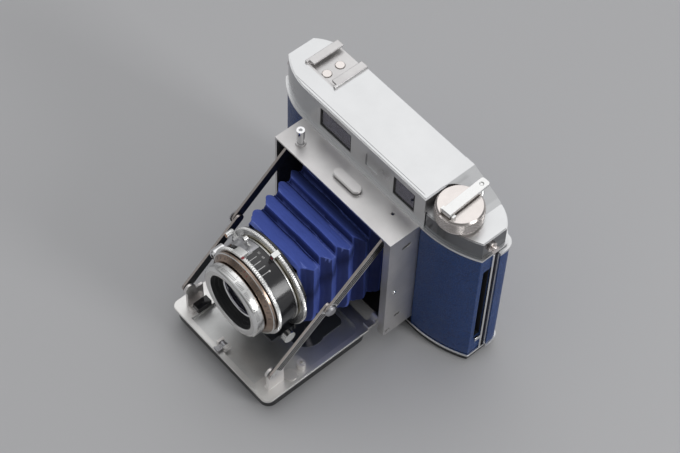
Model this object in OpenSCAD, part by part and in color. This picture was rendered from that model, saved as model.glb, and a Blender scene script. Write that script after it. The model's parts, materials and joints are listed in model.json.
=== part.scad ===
// Folding instant-film camera: strut-braced lens bed, cloth bellows, leaf shutter, crank film drive.
// Millimetres. +X to the crank end, lens looks along -Y, +Z up, z = 0 at the underside of the base.
// Positions are written from the lens box's front plane (y = 0) and moved by socket_y in place().

/* [Body] */
// Width over the two end faces
body_w = 136; // [124:1:150]
// Lens axis to the crank end face
end_r = 74.5; // [68:0.5:82]
// Lens box depth ahead of the body
box_d = 17; // [14:0.5:22]
// Front ledge to the back of the top cover
body_d = 32.4; // [30:0.1:36]
// Base cover height
base_h = 6.1; // [5:0.1:8]
// Height of the seam under the top cover
seam_z = 86.2; // [80:0.1:92]
// Crank deck above the seam
deck_h = 11.8; // [10:0.1:14]
// Finder deck above the crank deck
step_h = 8.9; // [7.5:0.1:11]
// Step between the two decks
step_x = 43.4; // [40:0.1:48]
// Leather thickness
leather_t = 0.7; // [0.4:0.1:1.2]
// Casting wall
wall_t = 2.2; // [1.8:0.1:3]

/* [Lens box and bed] */
// Lens box crank side
box_r = 42; // [40:0.5:46]
// Reach of the bed ahead of the box
bed_reach = 67; // [60:0.5:70]
// Top face of the bed rim
bed_z = 12.2; // [11:0.1:14]
// Depth of the bed's pan
pan_d = 2.4; // [1:0.1:2.6]
// Thickness of the black cover under the bed
cover_d = 9.6; // [6:0.1:10]
// Bed hinge, distance behind the box front
hinge_y = 3; // [2:0.1:5]
// Bed hinge height
hinge_z = 14.4; // [13.5:0.1:16]

/* [Lens and shutter] */
// Height of the lens axis
lens_z = 48.4; // [46:0.1:50]
// Front face of the focusing ring
lens_front = -58.9; // [-60:0.1:-57.5]
// Focusing ring radius
focus_r = 19; // [17:0.1:20]
// Shutter drum radius
drum_r = 22.3; // [21:0.1:23]
// Speed ring radius
speed_r = 23; // [22:0.1:24]
// Aperture ring radius
aper_r = 25.8; // [24:0.1:26]
// Aperture opening radius
stop_r = 6; // [3:0.1:8]

/* [Controls] */
// Crank knob radius
knob_r = 11; // [9:0.1:12]
// Crank knob height above the deck
knob_h = 12.5; // [10:0.1:14]
// Release pin radius
pin_r = 2; // [1.6:0.1:2.4]
// Radial clearance of running fits
fit = 0.06; // [0.02:0.01:0.1]

/* [Film] */
// Film plane behind the box front
film_y = 30.6; // [30:0.1:31]
// Picture opening width
gate_w = 62; // [56:1:64]
// Picture opening height
gate_h = 46; // [42:1:50]
// Film exit height
slot_h = 55.4; // [54:0.1:57]

/* [Hidden] */
$fn = 48;
socket_y = 32;
end_l = end_r - body_w;
front_y = box_d;
back_y = box_d + body_d;
deck_z = seam_z + deck_h;
top_z = deck_z + step_h;
box_l = 4 - box_r;
ledge = 1.2;                     // top cover wall stands in from the seam flange
door_y = 35.2;                   // front of the back door
cast_y = 33.6;                   // back of the casting
slot_z0 = 18.6;
box_in_l = box_l + 1.3;
box_in_r = box_r - 4.2;
bed_hw = box_in_r - 1.8;
strut_x = bed_hw - 1.8;          // outer face of the upper links
box_z0 = 10.1;
plate_t = 1.0;                   // lens box top plate
pan_z = bed_z - pan_d;
cover_in = 1.2;
cover_r = 3.4;
pivot_y = hinge_y - 28.3;        // virtual axis that keeps the lens upright
pivot_z = hinge_z + 34;
strut_u = [5.5, 78.5];           // strut pivots, as y and z
strut_k = [-27.4, 51.9];
strut_l = [-59.5, 26.0];
strut_w = 5.4;
knob = [55, 28.1];
roll_r = 2.45;
roll_y2 = knob[1] + 2 * roll_r + 0.2;
shoe_x = end_l + 21.9;
hinge_a = [end_l + 0.5, 34.4];   // back door hinge
latch_x = end_r - 22.5;
big = 400;

module place() translate([0, -socket_y, 0]) children();
// a round bar along y between two stations, about the lens axis
module ring(y0, y1, r0, r1, ri) translate([0, y0, lens_z]) rotate([-90, 0, 0]) difference() {
    cylinder(h = y1 - y0, r1 = r0, r2 = r1, $fn = 120);
    translate([0, 0, -0.5]) cylinder(h = y1 - y0 + 1, r = ri, $fn = 96);
}
module bar_y(x, y0, y1, z, r) translate([x, y0, z]) rotate([-90, 0, 0]) cylinder(h = y1 - y0, r = r);
module bar_x(x0, x1, y, z, r) translate([x0, y, z]) rotate([0, 90, 0]) cylinder(h = x1 - x0, r = r);
module slab(x0, x1, y0, y1, z0, z1) translate([x0, y0, z0]) cube([x1 - x0, y1 - y0, z1 - z0]);
// round-ended bar lying along x, from its height z
module pill(x, y, z, h, w, r) translate([x, y, z]) {
    for (s = [-1, 1]) translate([s * w / 2, 0, 0]) cylinder(h = h, r = r);
    translate([-w / 2, -r, 0]) cube([w, 2 * r, h]);
}
// rounded rectangle in plan
module rr(x0, x1, y0, y1, r) translate([(x0 + x1) / 2, (y0 + y1) / 2]) offset(r = r)
    square([x1 - x0 - 2 * r, y1 - y0 - 2 * r], center = true);
function arc(cx, cy, r, a0, a1, n) = [for (i = [0:n]) let (a = a0 + (a1 - a0) * i / n)
    [cx + r * cos(a), cy + r * sin(a)]];

// plan of the body: flat front, curved shoulders, flat ends, rounded back
shoulder_x = box_r + 2;
shoulder_dx = end_r - shoulder_x;
shoulder_dy = 8.4;
shoulder_r = (shoulder_dx * shoulder_dx + shoulder_dy * shoulder_dy) / (2 * shoulder_dy);
lsh_dx = box_l - end_l;
lsh_dy = 9.3;
lsh_r = (lsh_dx * lsh_dx + lsh_dy * lsh_dy) / (2 * lsh_dy);
body_pts = concat(
    arc(shoulder_x, front_y + shoulder_r, shoulder_r, -90, -90 + asin(shoulder_dx / shoulder_r), 20),
    arc(end_r - 17.5, back_y - 21.8, 21.8, acos(17.5 / 21.8), 90, 10),
    arc(end_l + 19.5, back_y - 24.8, 24.8, 90, 180 - acos(19.5 / 24.8), 10),
    arc(box_l, front_y + lsh_r, lsh_r, 270 - asin(lsh_dx / lsh_r), 270, 20));
module outline(ins = 0) offset(delta = -ins) polygon(body_pts);
module front_zone() translate([-200, -200]) square([400, 200 + cast_y]);
module back_zone() translate([-200, door_y]) square([400, 200]);

// ---------- body ----------
module casting_solid() translate([0, 0, base_h]) linear_extrude(seam_z - base_h)
    intersection() { outline(0.9 + leather_t); front_zone(); }
// curved front walls, left and right of the lens box
module body_casting() color([0.08, 0.08, 0.09]) place() difference() {
    union() {
        intersection() {
            difference() {
                casting_solid();
                translate([0, 0, base_h + 1]) linear_extrude(seam_z - base_h)
                    intersection() { outline(0.9 + leather_t + wall_t); front_zone(); }
                // open back
                slab(end_l + 5, end_r - 4.2, 30.5, cast_y + 1, 0, 100);
            }
            slab(-200, 200, 0, 100, base_h + 2, seam_z - 1.2);
        }
        // film exit chute
        translate([0, 0, slot_z0 - 3]) linear_extrude(slot_h + 6) intersection() {
            outline(0.9 + leather_t);
            translate([60, 25]) square([20, cast_y - 25]);
        }
    }
    // front opening for the lens box
    slab(box_in_l, box_in_r, 10, 40, 0, 100);
    // film exit
    slab(59, end_r + 2, film_y - 1.6, film_y + 1.6, slot_z0, slot_z0 + slot_h);
    translate([0, 0, slot_z0]) slab(end_r - 6, end_r + 2, film_y - 2.2, film_y + 1.8, 0, slot_h);
    // door hinge barrel
    translate([hinge_a[0], hinge_a[1], 0]) cylinder(h = 100, r = 2.1);
}
// floor with the sill under the lens box, and the roof
module casting_plates() color([0.08, 0.08, 0.09]) place() difference() {
    union() {
        intersection() {
            casting_solid();
            union() {
                slab(-200, 200, 0, 100, base_h, base_h + 2);
                slab(-200, 200, 0, 100, seam_z - 1.2, seam_z);
                slab(box_in_l, box_in_r, 0, front_y + 3.8, base_h, box_z0 + 1.5);
            }
        }
    }
    slab(box_in_l, box_in_r, 10, 29.3, seam_z - 2, seam_z - plate_t);
    translate([hinge_a[0], hinge_a[1], 0]) cylinder(h = 100, r = 2.1);
    // tripod bush
    translate([0, socket_y, 0]) cylinder(h = base_h + 1.5, r = 5.55);
    // drive shaft
    translate([knob[0], knob[1], seam_z - 3]) cylinder(h = 5, r = 4.2);
}
module body_leather() color([0.13, 0.2, 0.42]) place() difference() {
    translate([0, 0, base_h + 0.3]) linear_extrude(seam_z - base_h - 1.2)
        intersection() {
            difference() { outline(0.9); outline(0.9 + leather_t); }
            translate([-200, -200]) square([400, 200 + cast_y]);
        }
    slab(box_l - 0.2, box_r + 0.2, 10, 20, 0, 100);
    // exit slot with a rounded upper corner
    slab(end_r - 6, end_r + 2, film_y - 2.2, film_y + 1.8, slot_z0, slot_z0 + slot_h);
    slab(end_l - 8, end_l + 3.5, hinge_a[1] - 3.5, 40, 0, 100);
}
module exit_trim() color([0.82, 0.82, 0.84]) place() {
    slab(end_r - 0.85, end_r - 0.1, film_y + 1.85, cast_y, base_h + 0.3, seam_z - 1.0);
    difference() {
        slab(end_r - 4, end_r + 0.3, film_y - 2.1, film_y + 1.5, slot_z0 - 2.4, slot_z0);
        slab(end_r - 5, end_r - 0.9, film_y - 9, film_y + 9, slot_z0 - 9, slot_z0);
    }
}
module base_cover() color([0.03, 0.03, 0.035]) place() difference() {
    union() {
        linear_extrude(0.8) outline(1.9);
        translate([0, 0, 0.8]) linear_extrude(base_h - 2.1) outline(1.2);
    }
    translate([0, socket_y, -1]) cylinder(h = 20, r = 5.5);
}
module base_ledge() color([0.84, 0.84, 0.86]) place() difference() {
    translate([0, 0, base_h - 1.3]) linear_extrude(1.3) outline(0);
    translate([0, socket_y, -1]) cylinder(h = 20, r = 5.5);
}
module tripod_bush() color([0.72, 0.6, 0.35]) place() translate([0, socket_y, 0]) difference() {
    cylinder(h = base_h + 1.4, r = 5.5);
    translate([0, 0, -1]) cylinder(h = base_h + 1.6, r = 2.6);
    // clear of the back door
    slab(-9, 9, 2.95, 9, base_h, 20);
}
module seam_trim() color([0.9, 0.9, 0.91]) place() difference() {
    translate([0, 0, seam_z - 0.9]) linear_extrude(0.9) intersection() {
        difference() { outline(0.35); outline(0.9 + leather_t); }
        front_zone();
    }
    slab(box_l - 0.2, box_r + 0.2, 10, 20, 0, 100);
    translate([hinge_a[0], hinge_a[1], 0]) cylinder(h = 100, r = 2.1);
}
// windows, as x centre, width, z centre, height
win_z = (top_z + seam_z + 1.3) / 2;
win_h = top_z - seam_z - 8.3;
fw = [-16.7, 21.2, win_z, win_h];
rw = [29.8, 14, win_z - 0.4, win_h + 0.2];
pw = [8.1, 8.2, win_z - 0.4, win_h - 4];
module win(w, grow, y0, y1) slab(w[0] - w[1] / 2 - grow, w[0] + w[1] / 2 + grow, y0, y1,
    w[2] - w[3] / 2 - grow, w[2] + w[3] / 2 + grow);
module tier(ins) intersection() {
    offset(r = 3) offset(delta = -3 - ins) polygon(body_pts);
    translate([end_l + ledge + 1.3 + (ins - ledge), -200])
        square([step_x - end_l - 2.5 - 2 * (ins - ledge), 500]);
}
// the finder deck runs down to the crank deck behind the knob
module deck_ramp() difference() {
    intersection() {
        translate([0, back_y, 0]) rotate([90, 0, 0]) linear_extrude(back_y - knob[1]) polygon([
            [step_x - 6, deck_z - 1], [step_x - 6, top_z], [step_x - 0.4, top_z],
            [step_x + 0.9, top_z - 0.07 * step_h], [step_x + 2.2, top_z - 0.16 * step_h],
            [step_x + 5, deck_z + 0.7 * step_h], [step_x + 9.6, deck_z + 0.45 * step_h],
            [step_x + 13, deck_z + 0.24 * step_h], [step_x + 15.6, deck_z + 0.1 * step_h],
            [step_x + 18.6, deck_z], [step_x + 18.6, deck_z - 1]]);
        translate([0, 0, deck_z - 1]) linear_extrude(step_h + 1) outline(ledge + 0.1);
    }
    translate([knob[0], knob[1], 0]) cylinder(h = 200, r = knob_r + 1.2, $fn = 72);
    translate([0, 0, deck_z - 2]) linear_extrude(step_h + 0.4) tier(ledge + 1.6);
}
module top_cover() color([0.8, 0.8, 0.82]) place() difference() {
    union() {
        deck_ramp();
        translate([0, 0, seam_z]) linear_extrude(1.2) outline(0);
        translate([0, 0, seam_z + 1]) linear_extrude(deck_z - seam_z - 1.5) outline(ledge);
        translate([0, 0, deck_z - 0.6]) linear_extrude(0.3) outline(ledge + 0.2);
        translate([0, 0, deck_z - 0.4]) linear_extrude(0.4) outline(ledge + 0.5);
        translate([0, 0, deck_z - 1]) linear_extrude(top_z - deck_z + 0.5) tier(ledge);
        translate([0, 0, top_z - 0.6]) linear_extrude(0.3) tier(ledge + 0.25);
        translate([0, 0, top_z - 0.4]) linear_extrude(0.4) tier(ledge + 0.6);
    }
    // hollow inside
    translate([0, 0, seam_z + 1]) linear_extrude(deck_z - seam_z - 2.6) outline(ledge + 1.6);
    translate([0, 0, deck_z - 2]) linear_extrude(top_z - deck_z + 0.4) tier(ledge + 1.6);
    slab(knob[0] - 7, knob[0] + 7, knob[1] - 5, roll_y2 + 6, seam_z - 1, seam_z + 2);
    win(fw, 0, 10, 24);
    win(rw, 0, 10, 24);
    win(pw, 0, 10, front_y + ledge + 0.5);
    // black groove beside the step
    slab(step_x + 0.5, step_x + 1.3, 10, front_y + ledge + 0.7, seam_z + 1.2, deck_z + 1);
    // rim line along the finder deck's front edge
    slab(end_l + 12, step_x - 2.5, front_y + ledge + 1.6, front_y + ledge + 1.9, top_z - 0.25, top_z + 1);
    // shoe seat, open at the back
    slab(shoe_x - 10.6, shoe_x + 10.6, 28.2, back_y - ledge + 1, top_z - 2.8, top_z + 1);
    // knob bush
    translate([knob[0], knob[1], deck_z - 8]) cylinder(h = 20, r = 3 + fit);
    // eyepiece
    translate([fw[0], back_y - 6, fw[2]]) rotate([-90, 0, 0]) cylinder(h = 10, r = 4.5);
}
module finder_glass() color([0.2, 0.22, 0.26]) place() {
    win(fw, -0.8, front_y + ledge + 0.5, front_y + ledge + 1.3);
    win(rw, -0.8, front_y + ledge + 0.5, front_y + ledge + 1.3);
}
module finder_frames() color([0.03, 0.03, 0.03]) place() {
    for (w = [fw, rw]) difference() {
        win(w, 0, front_y + ledge + 0.25, front_y + ledge + 1.6);
        win(w, -0.8, 10, 30);
    }
    // finder tunnel and rangefinder prism block
    difference() {
        slab(fw[0] - 8, fw[0] + 8, front_y + ledge + 2.4, back_y - 8, fw[2] - win_h / 2,
            fw[2] + win_h / 2 + 0.4);
        slab(fw[0] - 6.5, fw[0] + 6.5, 10, back_y, fw[2] - win_h / 2 + 1.4, fw[2] + win_h / 2 - 1.2);
    }
    slab(rw[0] - 5, rw[0] + 5, front_y + ledge + 2.4, front_y + 14, rw[2] - win_h / 2 + 1.2,
        rw[2] + win_h / 2 - 1.2);
}
module eyepiece() color([0.05, 0.05, 0.06]) place() translate([fw[0], 0, fw[2]]) rotate([-90, 0, 0])
    difference() {
        union() {
            translate([0, 0, back_y - ledge - 1.6]) cylinder(h = 1.6, r = 4.5);
            translate([0, 0, back_y - ledge]) cylinder(h = 1.8, r = 6.4);
        }
        translate([0, 0, back_y - ledge + 0.4]) cylinder(h = 3, r = 3.2);
    }
module accessory_shoe() color([0.86, 0.86, 0.88]) place() difference() {
    slab(shoe_x - 10.6, shoe_x + 10.6, 28.2, back_y - ledge, top_z - 2.8, top_z + 1.3);
    slab(shoe_x - 9.35, shoe_x + 9.35, 29.6, back_y + 1, top_z - 2, top_z + 0.1);
    slab(shoe_x - 6.3, shoe_x + 6.3, 29.6, back_y + 1, top_z - 2, top_z + 3);
    // centre of the front wall is cut down
    slab(shoe_x - 9.35, shoe_x + 9.35, 27, 30, top_z - 0.4, top_z + 3);
    for (y = [32.6, 40.6]) translate([shoe_x, y, top_z - 3.2]) cylinder(h = 2, r = 2.3);
}
module shoe_rivets() color([0.86, 0.76, 0.66]) place() for (y = [32.6, 40.6])
    translate([shoe_x, y, top_z - 2.8]) cylinder(h = 1.2, r = 2.3);
module strap_lugs() color([0.78, 0.76, 0.74]) place() {
    for (s = [[end_r - ledge, 1], [end_l + ledge, -1]]) translate([s[0], 31, seam_z + 6.8]) rotate([0,
        s[1] * 90, 0]) {
        difference() {
            union() {
                cylinder(h = 1.2, r = 2.6);
                cylinder(h = 2.6, r = 1.3);
                translate([0, 0, 2.4]) cylinder(h = 0.9, r = 2.1);
            }
        }
    }
}
// ---------- lens box ----------
module front_box() color([0.8, 0.8, 0.82]) place() difference() {
    union() {
        slab(box_l, box_in_l, 0, front_y + 1.6, box_z0, seam_z);
        slab(box_in_r, box_r, 0, front_y + 1.6, box_z0, seam_z);
        slab(box_l, box_r, 0, front_y, seam_z - plate_t, seam_z);
        slab(box_in_l, box_in_r, 5.5, front_y + 1.6, box_z0, box_z0 + 1.4);
    }
    translate([box_l + 10.2, 6.8, 60]) cylinder(h = 40, r = pin_r - 0.4 + fit);
    translate([29.3, 12.7, 60]) cylinder(h = 40, r = 0.8);
    // button seat and its two guide holes
    for (x = [-1.2, 8]) translate([x, 8.3, 60]) cylinder(h = 40, r = 1.0 + fit, $fn = 24);
    // slots and holes in the crank side plate
    for (a = [0:1:8]) translate([0, 8.6 + a * 0.42, 76.9 + a * 0.05]) rotate([0, 90, 0])
        cylinder(h = 100, r = 0.9, $fn = 20);
    for (y = [7.2, 8.1, 9]) translate([0, y, 22]) rotate([0, 90, 0]) cylinder(h = 100, r = 0.8, $fn = 20);
    for (y = [1.8, 3.4]) translate([box_in_r + 2, y, 13.4]) rotate([0, 90, 0]) cylinder(h = 9,
        r = 0.65, $fn = 20);
}
module box_lining() color([0.03, 0.03, 0.03]) place() difference() {
    union() {
        slab(box_in_l, box_in_l + 0.4, 1, 29.2, box_z0 + 1.5, seam_z - plate_t);
        slab(box_in_r - 0.4, box_in_r, 1, 29.2, box_z0 + 1.5, seam_z - plate_t);
        slab(box_in_l + 0.4, box_in_r - 0.4, 5.5, 29.2, box_z0 + 1.5, box_z0 + 1.9);
    }
}
module box_studs() color([0.88, 0.88, 0.9]) place() {
    // strut studs, bed hinge pins and the side rivet
    bar_x(strut_x + 0.1, box_in_r - 0.4, strut_u[0], strut_u[1], 2.4);
    bar_x(strut_x - 1.3, strut_x + 0.1, strut_u[0], strut_u[1], 1.2);
    bar_x(box_in_l + 0.4, -strut_x - 0.1, strut_u[0], strut_u[1], 2.2);
    bar_x(-strut_x - 0.1, 1.3 - strut_x, strut_u[0], strut_u[1], 1.2);
    bar_x(strut_x - 3, box_in_r - 0.4, hinge_y, hinge_z, 1.0);
    bar_x(box_in_l + 0.4, 3 - strut_x, hinge_y, hinge_z, 1.0);
    translate([box_r, 5, 43.8]) rotate([0, 90, 0]) cylinder(h = 0.5, r1 = 1.2, r2 = 0.7);
}
module film_gate() color([0.05, 0.05, 0.05]) place() difference() {
    slab(box_in_l - 4, box_in_r + 8, 29.3, 30.1, box_z0 + 1, seam_z - 4);
    slab(-gate_w / 2, gate_w / 2, 20, 40, lens_z - gate_h / 2, lens_z + gate_h / 2);
}
module film_pack() color([0.16, 0.16, 0.17]) place() difference() {
    slab(-40.5, 51, film_y - 0.4, 41.3, 15.8, 76.8);
    slab(-gate_w / 2 + 0.5, gate_w / 2 - 0.5, film_y - 1, film_y, lens_z - gate_h / 2 + 0.5,
        lens_z + gate_h / 2 - 0.5);
    // lip where the sheet leaves
    slab(49, 52, film_y - 0.1, film_y + 0.7, slot_z0, slot_z0 + slot_h);
}
module door_hinge() color([0.8, 0.8, 0.82]) place() translate([hinge_a[0], hinge_a[1], 0]) {
    for (z = [10, 66]) translate([0, 0, z]) cylinder(h = 16, r = 1.7);
    translate([0, 0, 12]) cylinder(h = 68, r = 0.8);
    for (z = [10, 66]) translate([-0.6, -3.4, z]) cube([1.7, 2.6, 16]);
}
// ---------- crank and film drive ----------
module advance_knob() color([0.85, 0.8, 0.76]) place() translate([knob[0], knob[1], deck_z]) difference() {
    union() {
        translate([0, 0, 0.3]) cylinder(h = 1.3, r = knob_r - 1.6, $fn = 72);
        translate([0, 0, 1.6]) cylinder(h = knob_h - 5.4, r = knob_r, $fn = 96);
        translate([0, 0, knob_h - 3.8]) cylinder(h = 0.8, r1 = knob_r, r2 = knob_r - 0.7, $fn = 96);
    }
    // seat for the crank and its hinge notch
    translate([0, 0, -1]) cylinder(h = 30, r = 2.03);
    rotate([0, 0, crank_a + 180]) slab(knob_r - 4.9, 14, -2.8, 2.8, knob_h - 4.6, knob_h);
}
module drive_shaft() color([0.62, 0.62, 0.64]) place() translate([knob[0], knob[1], 0]) {
    translate([0, 0, deck_z - 8]) cylinder(h = 8.3, r = 3, $fn = 40);
    translate([0, 0, deck_z]) cylinder(h = knob_h - 3, r = 2);
    translate([0, 0, seam_z - 4]) cylinder(h = deck_z - seam_z - 4, r = 1.6);
    translate([0, 0, 12]) cylinder(h = 70.3, r = 1.2);
    translate([0, 0, 15]) cylinder(h = 62, r = roll_r, $fn = 40);
    translate([0, 0, 79.5]) pinion(0);
}
module pinion(turn) rotate([0, 0, turn]) linear_extrude(2.6) difference() {
    union() {
        circle(r = 2.0);
        for (a = [0:30:330]) rotate([0, 0, a]) polygon([[1.8, -0.34], [2.85, -0.16], [2.85, 0.16],
            [1.8, 0.34]]);
    }
    circle(r = 0.5);
}
module pinch_roller() color([0.1, 0.1, 0.1]) place() translate([knob[0], roll_y2, 0]) {
    translate([0, 0, 12]) cylinder(h = 72.2, r = 0.9);
    translate([0, 0, 15]) cylinder(h = 62, r = roll_r, $fn = 40);
    translate([0, 0, 79.5]) pinion(15);
}
module roller_block() color([0.3, 0.3, 0.31]) place() {
    difference() {
        slab(knob[0] - 4, knob[0] + 4, knob[1] - 4, 34.9, base_h + 2, 13);
        translate([knob[0], knob[1], 11.9]) cylinder(h = 9, r = 1.2 + fit);
        translate([knob[0], roll_y2, 11.9]) cylinder(h = 9, r = 0.9 + fit);
    }
    difference() {
        slab(knob[0] - 4, knob[0] + 4, knob[1] - 4, 34.9, 82.7, seam_z - 1.2);
        translate([knob[0], knob[1], 80]) cylinder(h = 9, r = 1.6 + fit);
        translate([knob[0], roll_y2, 80]) cylinder(h = 9, r = 0.9 + fit);
    }
}
// crank bar: hinged at the knob's near rim, lies across the top and past the far rim
crank_a = 93;
crank_r = knob_r - 3.2;          // hinge pin from the knob's centre
grip_r = knob_r + 2.1;           // grip from the knob's centre
crank_hz = deck_z + knob_h - 0.5;
module crank_frame() place() translate([knob[0], knob[1], crank_hz]) rotate([0, 0, crank_a]) children();
module crank_bar() color([0.88, 0.86, 0.84]) crank_frame() difference() {
    union() {
        translate([-knob_r + 1.7, -2.45, -1.2]) cube([grip_r + knob_r - 0.6, 4.9, 1.7]);
        translate([grip_r - 1, -1.1, -1.2]) cube([4.2, 2.2, 1.7]);
        for (k = [-1, 1]) translate([grip_r + 1.85, k * 1.1, -1.2]) cylinder(h = 1.7, r = 1.35);
        translate([-crank_r, 0, -1.75]) rotate([90, 0, 0]) cylinder(h = 4.9, r = 1.5, center = true);
    }
    translate([grip_r, 0, -3]) cylinder(h = 5, r = 1 + fit);
    translate([-crank_r, 0, -1.75]) rotate([90, 0, 0]) cylinder(h = 9, r = 0.7 + fit, center = true);
}
module crank_pivot() color([0.7, 0.68, 0.66]) crank_frame() {
    translate([-crank_r, 0, -1.75]) rotate([90, 0, 0]) cylinder(h = 7.6, r = 0.7, center = true);
    for (s = [-1, 1]) translate([-crank_r - 1, s * 3.3 - 0.6, -2.5]) cube([2, 1.2, 1.7]);
}
module crank_grip() color([0.85, 0.83, 0.8]) crank_frame() translate([grip_r, 0, 0]) {
    translate([0, 0, -6.5]) cylinder(h = 5.1, r = 1.8);
    translate([0, 0, -1.6]) cylinder(h = 1.8, r = 1);
}
// ---------- box top controls ----------
module release_pin() color([0.86, 0.86, 0.88]) place() translate([box_l + 10.2, 6.8, seam_z]) {
    difference() {
        translate([0, 0, 3.4]) cylinder(h = 6.2, r = pin_r, $fn = 32);
        translate([0, 0, 7.8]) rotate([90, 0, 30]) cylinder(h = 9, r = 0.45, center = true, $fn = 16);
        translate([0, 0, 8.6]) cylinder(h = 2, r = 0.9, $fn = 20);
    }
    translate([0, 0, -4.2]) cylinder(h = 7.8, r = pin_r - 0.4, $fn = 24);
    translate([0, 0, -4.6]) cylinder(h = 0.8, r = 2.4, $fn = 24);
}
module button_collars() color([0.84, 0.84, 0.86]) place() {
    translate([box_l + 10.2, 6.8, seam_z]) difference() {
        cylinder(h = 0.9, r = 2.6, $fn = 32);
        translate([0, 0, -1]) cylinder(h = 4, r = pin_r - 0.4 + fit, $fn = 32);
    }
    difference() {
        pill(3.4, 8.3, seam_z, 0.4, 11.8, 3);
        for (x = [-1.2, 8]) translate([x, 8.3, seam_z - 1]) cylinder(h = 3, r = 1.0 + fit, $fn = 24);
    }
}
module bed_button() color([0.83, 0.83, 0.85]) place() {
    pill(3.4, 8.3, seam_z + 1.25, 0.95, 11.8, 2.7);
    pill(3.4, 8.3, seam_z + 2.2, 0.3, 11.8, 2.4);
    for (x = [-1.2, 8]) translate([x, 8.3, seam_z - plate_t]) cylinder(h = plate_t + 1.3, r = 1.0,
        $fn = 24);
}
// ---------- bed ----------
module pan_shape() difference() {
    rr(-bed_hw + 2.9, bed_hw - 2.9, -bed_reach + 2.8, -7, 5);
    for (s = [-1, 1]) translate([s * 31, -52]) offset(r = 3) square([9, 22], center = true);
}
module bed_pan() color([0.78, 0.78, 0.8]) place() {
    difference() {
        union() {
            translate([0, 0, bed_z - 1]) linear_extrude(0.75) rr(-bed_hw, bed_hw, -bed_reach, -1, 4);
            translate([0, 0, bed_z - 0.3]) linear_extrude(0.3) rr(-bed_hw + 0.25, bed_hw - 0.25,
                -bed_reach + 0.25, -1.25, 3.8);
            translate([0, 0, pan_z - 0.8]) linear_extrude(bed_z - pan_z) offset(delta = 0.8) pan_shape();
        }
        translate([0, 0, pan_z]) linear_extrude(10) pan_shape();
    }
    // lugs that carry the bed on its two hinge pins
    for (s = [-1, 1]) translate([s * (strut_x - 0.8), 0, 0]) difference() {
        union() {
            slab(-1.9, 1.9, -3.4, 3.0, bed_z - 0.9, bed_z + 0.9);
            translate([-1.9, hinge_y, hinge_z]) rotate([0, 90, 0]) cylinder(h = 3.8, r = 2.0);
            slab(-1.9, 1.9, hinge_y - 2.0, hinge_y + 1.9, bed_z, hinge_z);
        }
        bar_x(-5, 5, hinge_y, hinge_z, 1.0 + fit);
    }
}
module bed_lobes() color([0.2, 0.22, 0.26]) place() translate([0, 0, pan_z]) linear_extrude(0.3) {
    offset(r = 3) offset(delta = -3) union() {
        translate([-24, -22]) square([48, 13]);
        translate([16, -26]) circle(r = 9);
        translate([-16, -26]) circle(r = 9);
    }
}
module bed_cover() color([0.02, 0.02, 0.025]) place() difference() {
    union() {
        for (k = [0:6]) let (a = k * 15, r = cover_r, m = cover_in + r * (1 - cos(a)))
            translate([0, 0, bed_z - 1 - cover_d + r - r * sin(a)])
                linear_extrude(k == 0 ? cover_d - r : r * (sin(a) - sin(a - 15)) + 0.01)
                    rr(-bed_hw + m, bed_hw - m, -bed_reach + m, -3 - r * (1 - cos(a)), 5);
    }
    translate([0, 0, pan_z - 0.8]) linear_extrude(10) offset(delta = 0.8) pan_shape();
}
// a block on one side of the bed, from a to b inside the upper links' outer face
module side_slab(s, a, b, y0, y1, z0, z1)
    slab(s > 0 ? strut_x - a : b - strut_x, s > 0 ? strut_x - b : a - strut_x, y0, y1, z0, z1);
module strut_feet() color([0.8, 0.78, 0.76]) place() for (s = [-1, 1]) {
    difference() {
        union() {
            side_slab(s, 6.6, 3.5, -61.6, -52, bed_z, bed_z + 1.2);
            side_slab(s, 5, 3.5, -61.6, -52, bed_z, 24);
            translate([s * (strut_x - 4.25) - 0.75, strut_l[0], strut_l[1]]) rotate([0, 90, 0])
                cylinder(h = 1.5, r = 3);
            side_slab(s, 5, 3.5, strut_l[0] - 2.1, strut_l[0] + 3, 20, strut_l[1]);
        }
    }
    translate([s * (strut_x - 2.475) - 1.025, strut_l[0], strut_l[1]]) rotate([0, 90, 0])
        cylinder(h = 2.05, r = 1.2);
}
module bed_fittings() color([0.86, 0.84, 0.82]) place() {
    translate([strut_x - 3.4, -48.2, bed_z]) cylinder(h = 0.5, r = 3.3);
    // drilled roller post
    translate([strut_x - 3.8, -41.3, bed_z]) difference() {
        cylinder(h = 3.6, r = 2.2);
        translate([0, 0, 1.2]) cylinder(h = 5, r = 0.8);
    }
    // latch saddle at the front centre
    difference() {
        slab(-4.6, 1.6, -64, -60.2, bed_z, bed_z + 3.2);
        slab(-3.1, 0.1, -65, -59, bed_z + 0.6, bed_z + 5);
        bar_x(-6, 3, -62.2, bed_z + 1.9, 0.6);
    }
    bar_x(-4.5, 1.5, -62.2, bed_z + 1.9, 0.6);
    // black stop beside the far foot, with its small clip, and an edge rib
    slab(6.7 - strut_x, 11 - strut_x, -60, -52, bed_z, bed_z + 3.8);
    slab(6.7 - strut_x, 9.4 - strut_x, -62.6, -59.9, bed_z, bed_z + 0.9);
    slab(6.7 - strut_x, 9.4 - strut_x, -62.6, -61.8, bed_z, bed_z + 3);
    slab(1 - bed_hw, 2 - bed_hw, -46, -39.5, bed_z, bed_z + 2.6);
}
module bed_latch() color([0.8, 0.78, 0.74]) place() difference() {
    union() {
        slab(-2.9, -0.1, -67.2, -60.6, bed_z + 1.35, bed_z + 2.2);
        bar_x(-2.9, -0.1, -62.2, bed_z + 1.9, 1.15);
        slab(-2.9, -0.1, -67.2, -66.4, bed_z + 1.35, bed_z + 3.0);
    }
    bar_x(-6, 3, -62.2, bed_z + 1.9, 0.6 + fit);
}
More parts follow.
